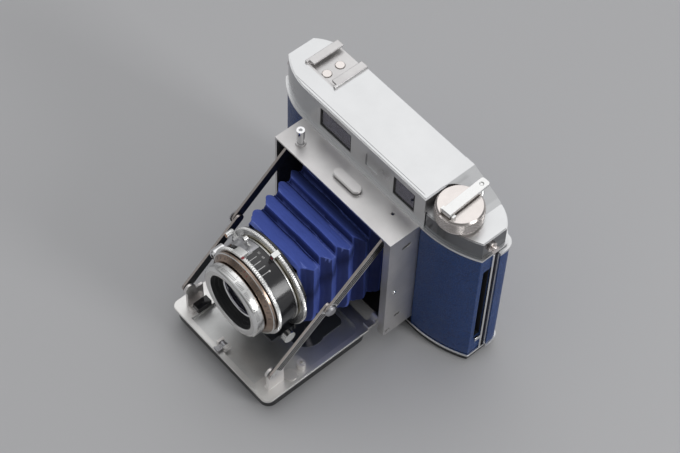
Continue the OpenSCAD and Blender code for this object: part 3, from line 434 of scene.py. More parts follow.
# %% Paints and the rest
def coating(name, color, rough_low, rough_high, worn=(0.35, 0.34, 0.33), relief_mm=0.003, **sockets):
    """Paint, ink, plastic or rubber. worn is the colour that shows on rubbed edges."""
    mat = new_material(name, color, **sockets)
    patch_roughness(mat, 70.0, rough_low, rough_high)
    edges = add_group(mat, WORN_AND_LIT_EDGES, Start=0.56, End=0.66)
    feed_shader(mat, "Base Color", mix_colors(mat, edges["Mask"], color, worn))
    bump_from(mat, add_group(mat, FINE_RELIEF, Scale=2200.0)["Height"], relief_mm)
    return mat


MATT_BLACK = coating("matt_black", (0.012, 0.012, 0.014), 0.55, 0.75, worn=(0.05, 0.05, 0.05))
LACQUER = coating("black_lacquer", (0.014, 0.014, 0.016), 0.20, 0.30, worn=(0.20, 0.20, 0.20),
                  Coat_Weight=0.4, Coat_Roughness=0.12)
GLOSS_BLACK = coating("gloss_black", (0.008, 0.008, 0.010), 0.06, 0.12, worn=(0.03, 0.03, 0.03),
                      relief_mm=0.001)
DARK_PLATE = coating("dark_plate", (0.055, 0.06, 0.068), 0.28, 0.42, Metallic=0.6)
PACK_BLACK = coating("pack_black", (0.03, 0.03, 0.033), 0.45, 0.6)
ROLLER_RUBBER = coating("roller_rubber", (0.02, 0.02, 0.021), 0.6, 0.8, relief_mm=0.01)
INK_DARK = coating("ink_dark", (0.06, 0.06, 0.066), 0.45, 0.6, worn=(0.08, 0.08, 0.08))
INK_FAINT = coating("ink_faint", (0.17, 0.17, 0.18), 0.45, 0.6, worn=(0.25, 0.25, 0.25))
INK_WHITE = coating("ink_white", (0.80, 0.79, 0.77), 0.45, 0.6, worn=(0.6, 0.6, 0.6))
INK_RED = coating("ink_red", (0.42, 0.012, 0.03), 0.3, 0.45, worn=(0.3, 0.02, 0.03))


def glass(name, color, roughness):
    """Glass with a violet coating and a very slight wave."""
    mat = new_material(name, color, Roughness=roughness, Transmission_Weight=1.0, IOR=1.5, Coat_Weight=0.3,
                       Coat_Tint=(0.75, 0.7, 1.0, 1))
    bump_from(mat, add_group(mat, FINE_RELIEF, Scale=120.0)["Height"], 0.0006)
    return mat


LENS_GLASS = glass("coated_glass", (0.86, 0.90, 0.96), 0.02)
WINDOW_GLASS = glass("window_glass", (0.62, 0.66, 0.68), 0.06)
print("coatings and glass made")

# %% [markdown]
# ## Leather and cloth
# The body is covered in blue leather with a fine pebble grain. The bellows is a brighter, duller
# cloth, lighter along its folds, partly from handling and partly as a painted highlight, and darkened
# with painted shade in its creases, on the panels that face away from the light and under the box.

# %% Leather and bellows cloth
def leather(name, color, deep):
    """Grained leather, in a deeper colour in the valleys of its grain."""
    mat = new_material(name, color, Specular_IOR_Level=0.45)
    grain = add_group(mat, LEATHER_GRAIN, Scale=1000.0)
    tone = add_group(mat, PATCHES, Scale=90.0, Low=0.0, High=1.0)
    slow = mix_colors(mat, tone["Value"], tuple(c * 0.82 for c in color), color)
    feed_shader(mat, "Base Color", mix_colors(mat, grain["Valleys"], slow, deep))
    patch_roughness(mat, 300.0, 0.36, 0.48)
    bump_from(mat, grain["Height"], 0.13)
    return mat


BLUE_LEATHER = leather("blue_leather", (0.017, 0.078, 0.290), (0.006, 0.028, 0.125))


def bellows_cloth():
    """Cloth that is lit blue or darkened with painted shade, as a per-point attribute of the mesh says; the
    creases get painted shade.
    """
    # the lit blue of the cloth, and the same cloth darkened as painted shade
    lit_cloth, deep = (0.092, 0.150, 0.60), (0.009, 0.017, 0.105)
    mat = new_material("bellows_cloth", lit_cloth, Sheen_Weight=0.15, Sheen_Roughness=0.5,
                       Sheen_Tint=(0.42, 0.55, 1.0, 1), Specular_IOR_Level=0.3)
    told = add_node(mat.node_tree, "Attribute")
    told.attribute_name = "painted_light"
    tone = add_group(mat, PATCHES, Scale=70.0, Low=0.78, High=1.0)
    amount = math_node(mat.node_tree, "MULTIPLY", told.outputs["Fac"], tone["Value"])
    cloth = mix_colors(mat, amount, deep, lit_cloth)
    # Ridges turn lighter: partly wear from handling, partly a painted highlight.
    fold_wear_and_highlight = add_group(mat, WORN_AND_LIT_EDGES, Start=0.515, End=0.58)
    feed_shader(mat, "Base Color", mix_colors(mat, fold_wear_and_highlight["Mask"], cloth, (0.15, 0.21, 0.62)))
    patch_roughness(mat, 200.0, 0.65, 0.8)
    bump_from(mat, add_group(mat, WEAVE, Threads=900.0)["Height"], 0.03)
    return mat


BELLOWS_CLOTH = bellows_cloth()
print("leather and cloth made")

# %% [markdown]
# ## Finishing a CAD piece
# Milled and pressed parts never have knife edges: a small radius catches a line of light. One
# helper copies a node's shape into a new piece, joins the flat facets, rounds the sharp edges and
# lets the new piece stand for the node. The CAD node itself is untouched.

# %% Helpers for pieces
JOIN_M = 2e-6      # corners closer than this are one corner
FLAT_DEG = 0.4     # facets that meet at less than this are one face


def add_piece(name, mesh, node, material, replaces=()):
    """Links a mesh as a piece that rides with a CAD node's body."""
    piece = bpy.data.objects.new(name, mesh)
    bpy.context.scene.collection.objects.link(piece)
    mesh.materials.clear()
    mesh.materials.append(material)
    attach(piece, BODY_OF[node])
    if replaces:
        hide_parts(*replaces)
    return piece


def face_outwards(mesh, sharp_deg=None):
    """Points all faces outwards. With an angle, the mesh is smooth but for edges above it."""
    work = bmesh.new()
    work.from_mesh(mesh)
    bmesh.ops.recalc_face_normals(work, faces=work.faces)
    if sharp_deg is not None:
        for face in work.faces:
            face.smooth = True
        for edge in work.edges:
            edge.smooth = edge.calc_face_angle(0) < math.radians(sharp_deg)
    work.to_mesh(mesh)
    work.free()


def soften_edges(piece, width_mm, segments=2, angle=32.0):
    """Rounds the edges that are sharper than the angle, and keeps the flat faces flat."""
    bevel = piece.modifiers.new("edge_radius", "BEVEL")
    bevel.width = width_mm * MM
    bevel.segments = segments
    bevel.limit_method = "ANGLE"
    bevel.angle_limit = math.radians(angle)
    normals = piece.modifiers.new("face_normals", "WEIGHTED_NORMAL")
    normals.keep_sharp = True
    normals.weight = 100    # the largest face decides


def finish(node, material, width_mm=0.15, segments=2, smooth_angle=34.0, zones=()):
    """A rounded copy of one CAD node. A zone is (material, test) for faces with another finish."""
    mesh = frame["nodes"][node].data.copy()
    work = bmesh.new()
    work.from_mesh(mesh)
    bmesh.ops.remove_doubles(work, verts=work.verts, dist=JOIN_M)
    bmesh.ops.dissolve_limit(work, angle_limit=math.radians(FLAT_DEG), verts=work.verts, edges=work.edges)
    for face in work.faces:
        face.smooth = True
    for edge in work.edges:
        edge.smooth = not (edge.is_manifold and edge.calc_face_angle(0) > math.radians(smooth_angle))
    work.to_mesh(mesh)
    work.free()
    piece = add_piece(node + "_finish", mesh, node, material, replaces=(node,))
    for other, _ in zones:
        mesh.materials.append(other)
    for face in mesh.polygons:
        corners = [mesh.vertices[i].co / MM for i in face.vertices]
        for index, (_, test) in enumerate(zones, 1):
            if test(corners, face.normal):
                face.material_index = index
    if width_mm:
        soften_edges(piece, width_mm, segments)


# %% [markdown]
# ## Machined pieces
# Most of the camera is turned, milled or pressed, so its CAD shapes are already right and only
# need their edges and finishes. The table below names a finish and an edge radius in millimetres
# for each. Pieces with two finishes come after it, one by one.

# %% Every machined piece, its finish and its edge radius
MACHINED = {
    # The base cover is silver; gloss black here stands in for its dark reflection: painted reflection.
    "base_cover": (GLOSS_BLACK, 0.5), "base_ledge": (POLISHED, 0.25),
    "seam_trim": (POLISHED, 0.15), "exit_trim": (POLISHED, 0.1), "tripod_bush": (OLIVE_BRASS, 0.15),
    "accessory_shoe": (BOX_SATIN, 0.25), "shoe_rivets": (WARM_NICKEL, 0.2), "strap_lugs": (WARM_NICKEL, 0.15),
    "eyepiece": (MATT_BLACK, 0.3), "finder_frames": (MATT_BLACK, 0.1), "finder_glass": (WINDOW_GLASS, 0.1),
    "body_casting": (MATT_BLACK, 0.1), "casting_plates": (MATT_BLACK, 0.1), "box_lining": (MATT_BLACK, 0.0),
    "box_studs": (POLISHED, 0.12), "film_gate": (MATT_BLACK, 0.1), "film_pack": (PACK_BLACK, 0.3),
    "door_hinge": (POLISHED, 0.1), "roller_block": (DARK_PLATE, 0.1), "button_collars": (BOX_SATIN, 0.1),
    "drive_shaft": (GROUND_STEEL, 0.1), "crank_pivot": (RING_SILVER, 0.15), "crank_bar": (RING_SILVER, 0.2),
    "crank_grip": (RING_SILVER, 0.3), "pinch_roller": (ROLLER_RUBBER, 0.1), "release_pin": (POLISHED, 0.15),
    "bed_button": (BOX_SATIN, 0.25), "bed_lobes": (DARK_PLATE, 0.1), "bed_cover": (GLOSS_BLACK, 0.0),
    "strut_feet": (FOOT_NICKEL, 0.15), "bed_latch": (GROUND_STEEL, 0.12), "standard_plate": (LACQUER, 0.2),
    "scale_cone": (BRONZE, 0.08), "rear_lens": (LENS_GLASS, 0.1), "front_lens": (LENS_GLASS, 0.1),
    "iris_leaves": (MATT_BLACK, 0.0), "cocking_lever": (RING_SILVER, 0.15),
    "release_lever": (RING_SILVER, 0.12), "sync_socket": (POLISHED, 0.15), "speed_ring": (RING_SILVER, 0.06),
    "aperture_ring": (RING_SILVER, 0.06), "advance_knob": (WARM_NICKEL, 0.15),
    "back_door": (SATIN_CHROME, 0.3), "pressure_plate": (MATT_BLACK, 0.1), "door_latch": (SATIN_CHROME, 0.2),
    "body_leather": (BLUE_LEATHER, 0.18), "door_leather": (BLUE_LEATHER, 0.18),
}
for node, (material, width_mm) in MACHINED.items():
    finish(node, material, width_mm)
print("finished", len(MACHINED), "pieces")

# %% [markdown]
# ## Grooved links
# The struts are bright links with three long grooves filled with black paint, an edge darkened to a
# brownish painted reflection, and a dark back. Separate strips of paint would need their own thin
# solids, but the grooves are already in the shape. So each face of the link is tested by where it
# lies, and gets its own finish.

# %% Links with painted grooves
GROOVE_MM = 0.56    # a little more than the depth of a groove
SLACK_MM = 0.02     # for rounding


def grooved_link(node, skin_mm):
    """Bright link whose three grooves are filled with black. skin_mm: inner to outer face."""
    low, high = box_mm(node)
    outer = min(abs(low.x), abs(high.x)) + skin_mm

    def in_groove(corners, normal):
        depths = [abs(c.x) for c in corners]
        return outer - GROOVE_MM < min(depths) < outer - 0.1 and max(depths) < outer + SLACK_MM

    def on_edge(corners, normal):
        return abs(normal.x) < 0.2 and max(abs(c.x) for c in corners) < outer + SLACK_MM

    def on_inside(corners, normal):
        return normal.x * corners[0].x < -1.0

    def on_knuckle(corners, normal):
        return max(abs(c.x) for c in corners) > outer + SLACK_MM

    # The edge faces get the darker copy: painted reflection.
    finish(node, LINK_RIDGE, 0.06, zones=(
        (LINK_EDGE_PAINTED_REFLECTION, on_edge), (DARK_PLATE, on_inside), (GROUND_STEEL, on_knuckle), (MATT_BLACK, in_groove)))


for side in "rl":
    grooved_link("strut_upper_" + side, 1.55)
    grooved_link("strut_lower_" + side, 1.25)
print("four grooved links")

# %% [markdown]
# ## One piece, several finishes
# A lens box is satin outside and black inside, a pressed cover is brushed on top and painted darker
# on its walls as shade and dark reflection, and a shutter drum is lacquered in front of a grey flange.
# These are one part each on the real camera, so they stay one mesh here too, and a test sorts their
# faces by place.

# %% Lens box and bed pan
X, Y, Z = 0, 1, 2
BOX_LOW, BOX_HIGH = box_mm("front_box")
FAR_WALL_MM, CRANK_WALL_MM, ROOF_MM = 1.0, 4.0, 0.9    # outer skins of the box, which stay satin
FACING = 0.7
RIM_TOP = box_mm("bed_fittings")[0].z
RIM_MM = 1.2


def inside_box(corners, normal):
    """Faces of the lens box that look at the bellows are painted black."""
    x = sum(c.x for c in corners) / len(corners)
    z = sum(c.z for c in corners) / len(corners)
    inner = BOX_LOW.x + FAR_WALL_MM < x < BOX_HIGH.x - CRANK_WALL_MM and z < BOX_HIGH.z - ROOF_MM
    return inner and (normal.x * (1 if x < 0 else -1) > FACING or normal.z < -FACING)


def above(axis, limit):
    """A test for faces that lie wholly beyond a limit, in millimetres on one axis."""
    return lambda corners, normal: min(c[axis] for c in corners) > limit


finish("front_box", BOX_SATIN, 0.14, zones=((MATT_BLACK, inside_box),))
finish("bed_pan", MILLED, 0.22, segments=3, zones=((RIM_SATIN, above(Z, RIM_TOP - RIM_MM)),))
print("bed rim at", round(RIM_TOP, 2))

# %% Top cover
SEAM_Z = box_mm("top_cover")[0].z
DECK_Z = box_mm("advance_knob")[0].z
BEADS_MM = 0.8         # the seam beads reach this high, and stay bright
CRANK_END_X = 40.0


def on_any_wall(corners, normal):
    return abs(normal.z) < 0.3 and min(c.z for c in corners) > SEAM_Z + BEADS_MM


def on_end_wall(corners, normal):
    """The band round the crank end, from the seam beads to the lower deck, but not the back."""
    return (on_any_wall(corners, normal) and normal.y < 0.5 and min(c.x for c in corners) > CRANK_END_X
            and max(c.z for c in corners) < DECK_Z + 0.3)


def on_wall(corners, normal):
    return on_any_wall(corners, normal) and not on_end_wall(corners, normal)


# The walls are made of many narrow facets, and smooth shading would leave streaks on them.
# The walls take the darkened copies of the chrome: painted shade and dark reflection.
finish("top_cover", SATIN_CHROME, 0.28, smooth_angle=0.0,
       zones=((CHROME_WALL_PAINTED_SHADE, on_end_wall), (SATIN_WALL_PAINTED_SHADE, on_wall)))
print("seam and deck at", round(SEAM_Z, 2), round(DECK_Z, 2))

# %% Bed fittings, bracket, band and drum
STOP_X, STOP_Y = (-27.6, -23.1), (-92.1, -83.9)    # the black block beside the far foot
NUT_X = box_mm("standard_bracket")[1].x - 2.9      # the nut is the bracket's outer end
BAND_LOW, BAND_HIGH = box_mm("drum_band")
BRIGHT_LINE_MM = 0.7


def on_stop(corners, normal):
    return all(STOP_X[0] < c.x < STOP_X[1] and STOP_Y[0] < c.y < STOP_Y[1] for c in corners)


def on_bright_line(corners, normal):
    return max(c.y for c in corners) < BAND_LOW.y + BRIGHT_LINE_MM


finish("bed_fittings", FOOT_NICKEL, 0.12, zones=((GLOSS_BLACK, on_stop),))
finish("standard_bracket", DARK_PLATE, 0.15, zones=((RING_SILVER, above(X, NUT_X)),))
finish("drum_band", OLIVE_BRASS, 0.08, zones=((RING_SILVER, on_bright_line),))
finish("shutter_drum", LACQUER, 0.15, zones=((FLANGE_GREY, above(Y, BAND_HIGH.y - 0.2)),))
print("four more pieces with two finishes")

# %% [markdown]
# ## The focusing ring
# The front ring is one turned piece: a bright band for the scale, a grey lip, and a black stepped
# bore that keeps stray light away from the glass. A profile spun round the lens axis makes it all,
# and each step of the profile names its own finish.

# %% Spin a profile round the lens axis
SPIN_STEPS = 144


def around_lens(angle, radius, y):
    """A point on a cylinder about the lens axis. The angle runs from the top towards the crank."""
    a = math.radians(angle)
    return Vector((LENS.x + radius * math.sin(a), y, LENS.z + radius * math.cos(a)))


def spin(name, profile, node, finishes, replaces=()):
    """profile: (y, radius, finish number) corners of a closed section, in millimetres."""
    verts, faces, marks = [], [], []
    count = len(profile)
    for step in range(SPIN_STEPS):
        after = (step + 1) % SPIN_STEPS
        for y, radius, _ in profile:
            verts.append(around_lens(360 * step / SPIN_STEPS, radius, y) * MM)
        for k in range(count):
            nxt = (k + 1) % count
            faces.append((step * count + k, step * count + nxt, after * count + nxt, after * count + k))
            marks.append(profile[k][2])
    mesh = new_mesh(name, verts, faces)
    face_outwards(mesh, 28)
    add_piece(name, mesh, node, finishes[0], replaces=replaces)
    for extra in finishes[1:]:
        mesh.materials.append(extra)
    for face, mark in zip(mesh.polygons, marks):
        face.material_index = mark


ring_low, ring_high = box_mm("focus_ring")
RING_R = (ring_high.x - ring_low.x) / 2
RING_Y = ring_low.y
f = RING_Y
focus_profile = [
    (ring_high.y, 12.5, 0), (f + 5.9, 12.5, 0), (f + 5.8, RING_R - 0.9, 0), (f + 5.5, RING_R - 0.35, 0),
    (f + 5.1, RING_R - 0.05, 0), (f + 4.9, RING_R, 0), (f + 1.2, RING_R, 0), (f + 0.75, RING_R - 0.18, 0),
    (f + 0.35, RING_R - 0.6, 0), (f + 0.1, RING_R - 1.05, 0), (f, RING_R - 1.5, 1), (f + 0.05, 15.5, 1),
    (f + 0.25, 15.0, 0), (f + 0.6, 14.68, 2), (f + 2.1, 14.1, 2), (f + 2.25, 13.5, 2), (f + 3.7, 13.1, 2),
    (f + 3.85, 12.45, 2), (f + 5.1, 12.0, 2), (f + 5.35, 11.2, 3), (f + 5.5, 10.75, 3), (f + 5.75, 10.5, 3),
    (f + 6.05, 10.42, 2), (f + 6.1, 11.68, 2), (ring_high.y, 11.7, 0)]
spin("focus_ring_turned", focus_profile, "focus_ring", (RING_SILVER, RIM_SATIN, MATT_BLACK, POLISHED),
     replaces=("focus_ring",))
print("focusing ring radius", round(RING_R, 2), "front at", round(RING_Y, 2))

# %% [markdown]
# ## Coin edges
# The two setting rings have a coin edge: short teeth that give the fingers a hold. The CAD rings
# are plain there. Each gets a thin sleeve whose radius rises and falls from tooth to tooth, with
# rounded ends and flat facets, because every tooth catches a glint of its own.

# %% Coin-edge sleeves
TOOTH_MM = 0.48
TOOTH_SHAPE = (0.0, 0.75, 1.0, 1.0, 1.0, 0.75)    # heights over one tooth, as shares
SPEED_LOW = box_mm("speed_ring")[0]
APERTURE_LOW, APERTURE_HIGH = box_mm("aperture_ring")


def coin_edge(node, teeth, radius, front, back):
    """A sleeve from front to back (mm along the axis) with teeth that stand on `radius`."""
    columns = teeth * len(TOOTH_SHAPE)
    # place along the axis, share of the tooth's height, and sinking into the ring
    stations = ((front + 0.02, 0.0, -1.0), (front - 0.04, 0.0, -0.3), (front - 0.04, 0.25, 0.0),
                (front + 0.12, 0.75, 0.0), (front + 0.4, 1.0, 0.0), (back - 0.4, 1.0, 0.0),
                (back - 0.12, 0.75, 0.0), (back + 0.04, 0.25, 0.0), (back + 0.04, 0.0, -0.3),
                (back - 0.02, 0.0, -1.0))
    verts = []
    for y, share, sink in stations:
        for i in range(columns):
            wave = TOOTH_SHAPE[i % len(TOOTH_SHAPE)]
            verts.append(around_lens(360 * i / columns, radius + sink + TOOTH_MM * share * wave, y) * MM)
    mesh = new_mesh(node + "_teeth", verts, tube_faces(len(stations), columns))
    face_outwards(mesh)
    add_piece(node + "_teeth", mesh, node, RING_SILVER)
    print(node, teeth, "teeth")


coin_edge("speed_ring", 126, radius=22.97, front=SPEED_LOW.y, back=SPEED_LOW.y + 1.9)
coin_edge("aperture_ring", 142, radius=25.77, front=APERTURE_HIGH.y - 1.7, back=APERTURE_HIGH.y)

# %% [markdown]
# ## Engraved scales
# Scales are cut into the rings and filled with paint. A tick or a figure is only a few hundredths
# of a millimetre deep, so it is modelled as a thin plate of paint bent to the ring. One builder
# collects many plates into one mesh. The figures are generic numbers.

# %% A builder for marks on a turned surface
PAINT_MM = 0.03     # paint stands this far out of the ring
ROOT_MM = 0.02      # and reaches this far into it
DOT_STEPS = 12
DEGREES_A_FACET = 4
FONT_PER_FIGURE = 1.4    # size of the font over the height of its figures


class Marks:
    """Collects bent plates of paint; build() turns them into one piece."""

    def __init__(self):
        self.verts, self.faces = [], []

    def plate(self, angle, y, radius, across_mm, along_mm, slope=0.0, rise=PAINT_MM):
        """A rectangle centred on (angle, y). slope is the change of radius per mm along y."""
        half = math.degrees(across_mm / 2 / radius)
        start = len(self.verts)
        pieces = max(1, int(half * 2 / DEGREES_A_FACET))
        for k in range(pieces + 1):
            a = angle - half + 2 * half * k / pieces
            for dy, up in ((-1, 0), (1, 0), (1, 1), (-1, 1)):
                r = radius + slope * dy * along_mm / 2 + (rise if up else -ROOT_MM)
                self.verts.append(around_lens(a, r, y + dy * along_mm / 2))
        for k in range(pieces):
            b = start + 4 * k
            for n in range(4):
                m = (n + 1) % 4
                self.faces.append((b + n, b + m, b + 4 + m, b + 4 + n))
        e = start + 4 * pieces
        self.faces.append((start, start + 3, start + 2, start + 1))
        self.faces.append((e, e + 1, e + 2, e + 3))

    def dot(self, angle, y, radius, size_mm):
        """A round spot."""
        start = len(self.verts)
        for k in range(DOT_STEPS):
            t = 2 * math.pi * k / DOT_STEPS
            a = angle + math.degrees(size_mm / 2 * math.cos(t) / radius)
            for r in (radius - ROOT_MM, radius + PAINT_MM):
                self.verts.append(around_lens(a, r, y + size_mm / 2 * math.sin(t)))
        for k in range(DOT_STEPS):
            n = (k + 1) % DOT_STEPS
            self.faces.append((start + 2 * k, start + 2 * n, start + 2 * n + 1, start + 2 * k + 1))
        self.faces.append(tuple(start + 2 * k + 1 for k in range(DOT_STEPS)))

    def figure(self, text, angle, y, radius, height_mm, slope=0.0):
        """A number bent onto the ring, upright when read from the front and above."""
        curve = bpy.data.curves.new("figure", "FONT")
        curve.body = text
        curve.size = height_mm * FONT_PER_FIGURE
        curve.align_x = curve.align_y = "CENTER"
        curve.extrude = ROOT_MM
        curve.resolution_u = 2
        holder = bpy.data.objects.new("figure", curve)
        flat = bpy.data.meshes.new_from_object(holder)
        start = len(self.verts)
        for v in flat.vertices:
            a = angle + math.degrees(v.co.x / radius)
            r = radius + slope * v.co.y + (PAINT_MM if v.co.z > 0 else -ROOT_MM)
            self.verts.append(around_lens(a, r, y + v.co.y))
        for face in flat.polygons:
            self.faces.append(tuple(start + i for i in face.vertices))
        bpy.data.objects.remove(holder)
        bpy.data.meshes.remove(flat)
        bpy.data.curves.remove(curve)

    def build(self, name, node, material):
        mesh = new_mesh(name, [v * MM for v in self.verts], self.faces)
        mesh.validate()
        print(name, len(mesh.polygons), "faces")
        add_piece(name, mesh, node, material)


def lone_plate(name, node, material, *place, **size):
    """A piece that is a single plate."""
    marks = Marks()
    marks.plate(*place, **size)
    marks.build(name, node, material)


# %% Focusing ring: fine ticks, figures and a dot
TICK_GROUPS = ((-62, -28), (-24, 5), (9, 24), (28, 52), (59, 76), (80, 110), (114, 140), (150, 200),
               (206, 290))    # degrees round the ring
TICK_STEP = 2.2
FIGURE_MM = 0.95
DISTANCES = (("1", -45), ("1.2", -30), ("1.5", -12), ("2", 3), ("2.5", 14), ("3", 26), ("4", 40),
             ("6", 64), ("10", 84), ("20", 106))
ring_marks = Marks()
for start, stop in TICK_GROUPS:
    angle = start
    while angle <= stop:
        ring_marks.plate(angle, RING_Y + 2.35, RING_R, across_mm=0.26, along_mm=1.9)
        angle += TICK_STEP
for text, angle in DISTANCES:
    ring_marks.figure(text, angle, RING_Y + 4.25, RING_R, FIGURE_MM)
ring_marks.build("focus_scale", "focus_ring", INK_FAINT)
ring_dot = Marks()
ring_dot.dot(55, RING_Y + 2.2, RING_R, size_mm=0.9)
ring_dot.build("focus_index", "focus_ring", INK_DARK)

# %% Scale cone: a bright rib, then figures and ticks in dark and red
CONE_Y = box_mm("scale_cone")[0].y
CONE_MM, CONE_FRONT_R, CONE_BACK_R = 2.0, 19.2, 21.5    # length of the cone, and its two radii
CONE_SLOPE = (CONE_BACK_R - CONE_FRONT_R) / CONE_MM
STOPS = "32 22 16 11 8 5.6 4 5.6 8 11 16 22 32".split()
FIRST_STOP, STOP_STEP = -58, 11.5    # degrees
rib = CONE_Y + CONE_MM
spin("cone_rib", [(rib, 21.3, 0), (rib - 0.04, 21.75, 0), (rib + 0.02, 21.98, 0), (rib + 0.2, 22.06, 0),
                  (rib + 0.34, 21.98, 0), (rib + 0.38, 21.5, 0)], "scale_cone", (RING_SILVER,))


def cone_radius(y):
    return CONE_FRONT_R + CONE_SLOPE * (y - CONE_Y)


cone_marks, cone_reds = Marks(), Marks()
for k, text in enumerate(STOPS):
    angle = FIRST_STOP + STOP_STEP * k
    marks = cone_reds if text == "4" else cone_marks
    marks.figure(text, angle, CONE_Y + 0.95, cone_radius(CONE_Y + 0.95), FIGURE_MM, slope=CONE_SLOPE)
    marks.plate(angle - 5.7, CONE_Y + 1.5, cone_radius(CONE_Y + 1.5), 0.22, 0.7, slope=CONE_SLOPE)
cone_marks.build("cone_scale", "scale_cone", INK_DARK)
cone_reds.build("cone_index", "scale_cone", INK_RED)

# %% Shutter drum: five index lines, two figures, a satin plate and a black stop
DRUM_R = (DRUM_HIGH.x - DRUM_LOW.x) / 2
BAND_Y = BAND_LOW.y
drum_marks = Marks()
for angle in (-8.7, -0.8, 7.0, 14.7, 22.6):
    drum_marks.plate(angle, BAND_Y - 6.85, DRUM_R, 0.34, 4.6)
drum_marks.dot(22.8, BAND_Y - 4.4, DRUM_R, 1.0)
drum_marks.figure("30", -2.9, BAND_Y - 2.65, DRUM_R, 1.1)
drum_marks.figure("60", 5.1, BAND_Y - 2.65, DRUM_R, 1.1)
for angle in (-31, -27.5, -24, -20.5, -17):
    drum_marks.plate(angle, BAND_Y - 3.2, DRUM_R + 0.16, 0.12, 2.4)
drum_marks.build("drum_index", "shutter_drum", INK_WHITE)

lone_plate("drum_plate", "shutter_drum", GROUND_STEEL, -35, BAND_Y - 3.35, DRUM_R - ROOT_MM,
           across_mm=20.0, along_mm=6.3, rise=0.18)
lone_plate("drum_stop", "shutter_drum", GLOSS_BLACK, -36.5, BAND_Y - 7.8, DRUM_R - ROOT_MM,
           across_mm=5.6, along_mm=1.7, rise=0.9)

# %% Coloured pointers on the setting rings and the cocking lever
lone_plate("speed_pointer", "speed_ring", INK_RED, -7.8, SPEED_LOW.y + 0.85, 23.0,
           across_mm=1.3, along_mm=1.5, rise=0.5)
FACE_STEPS, FACE_RISE_MM, FACE_TAPER = 20, 0.06, 0.8


def face_dot(name, centre, radius_mm, node, material):
    """A shallow painted disc on a face that looks along -Y."""
    verts = []
    for depth, size in ((0.0, radius_mm), (FACE_RISE_MM, radius_mm * FACE_TAPER)):
        for k in range(FACE_STEPS):
            t = 2 * math.pi * k / FACE_STEPS
            verts.append((centre + Vector((size * math.cos(t), -depth, size * math.sin(t)))) * MM)
    top = tuple(range(FACE_STEPS, 2 * FACE_STEPS))
    mesh = new_mesh(name, verts, [*tube_faces(2, FACE_STEPS), top])
    face_outwards(mesh)
    add_piece(name, mesh, node, material)


face_dot("aperture_pointer", around_lens(13.6, 25.2, APERTURE_LOW.y), 0.85, "aperture_ring", INK_RED)
PIN_Y = box_mm("cocking_lever")[0].y
face_dot("cocking_cap", around_lens(-55, 26.6, PIN_Y), 1.15, "cocking_lever", COPPER_CAP)
print("two painted discs")

# %% [markdown]
# ## Knurling on the crank knob
# The knob's side has a diamond knurl: two sets of helical grooves leave small pyramids. A texture
# would lose its silhouette, so the pyramids are real. A grid is wrapped round the knob, every
# second point stands proud, and each cell is split along its low corners.

# %% Diamond knurl
PYRAMID_MM = 0.42
PLAIN_LOW_MM, PLAIN_HIGH_MM = 1.6, 1.1    # plain bands under and over the knurl


def diamond_knurl():
    """A sleeve of small pyramids round the knob, with a flat rim that closes each end."""
    low, high = box_mm("advance_knob")
    centre = (low + high) / 2
    radius = (high.x - low.x) / 2 + 0.03
    bottom, top = low.z + PLAIN_LOW_MM, high.z - PLAIN_HIGH_MM
    columns, rows = 96, 11

    def on_knob(i, r, z):
        a = 2 * math.pi * i / columns
        return Vector((centre.x + r * math.cos(a), centre.y + r * math.sin(a), z)) * MM

    verts, faces = [], []
    for j in range(rows + 1):
        z = bottom + (top - bottom) * j / rows
        for i in range(columns):
            peak = (i + j) % 2 == 0 and 0 < j < rows
            verts.append(on_knob(i, radius + (PYRAMID_MM if peak else 0.0), z))
    for j in range(rows):
        for i in range(columns):
            n = (i + 1) % columns
            a, b = j * columns + i, j * columns + n
            c, d = (j + 1) * columns + n, (j + 1) * columns + i
            if (i + j) % 2 == 0:
                faces += [(a, b, d), (b, c, d)]
            else:
                faces += [(a, b, c), (a, c, d)]
    for j, z, flip in ((0, bottom, False), (rows, top, True)):
        hub = len(verts)
        verts += [on_knob(i, radius - 1, z) for i in range(columns)]
        for i in range(columns):
            n = (i + 1) % columns
            quad = (j * columns + i, hub + i, hub + n, j * columns + n)
            faces.append(quad[::-1] if flip else quad)
    add_piece("knob_knurl", new_mesh("knob_knurl", verts, faces), "advance_knob", WARM_NICKEL)
    print("knurl", len(faces), "faces, radius", round(radius + PYRAMID_MM, 2))


diamond_knurl()

# %% [markdown]
# ## The bellows
# A camera bellows is one tube of cloth creased so that it can fold flat. Over each top ridge the
# sides are drawn in, and between the ridges the sides bulge out, so the corners run in a zigzag.
# Stacked boxes would miss that, so rings of points are lofted: ridge and valley rings take turns,
# and each has its own width and height. The panels sag a little, and a second fine crease runs
# beside each valley.

# %% Bellows
RIDGES = (1.15, 11.3, 20.0, 28.7, 37.6, 46.4, 55.2)    # behind the front end, in millimetres
LAST_PITCH = 8.8
HALF_X, HALF_Z = 16.9, 22.7     # half width and half height at the front
GROW_X, GROW_Z = 0.172, 0.16    # how much each grows per millimetre of depth
SHADED_FROM = 3                 # from this ridge on, the top sinks into the dark box
END_MM = 0.6                    # the last bit at each end lies flat
CLOTH_MM = 0.45
CREASE_DEG = 26
SAG_MM, SWELL_MM, DRIFT_MM = 0.35, 0.22, 0.35
LONG_RUN_MM = 8                 # runs longer than this bow, the others are corners
SIDE_STEPS, CORNER_STEPS = 14, 3
WIDE_PANEL_MM = 1.2             # panels wider than this get two more rings, and swell a little
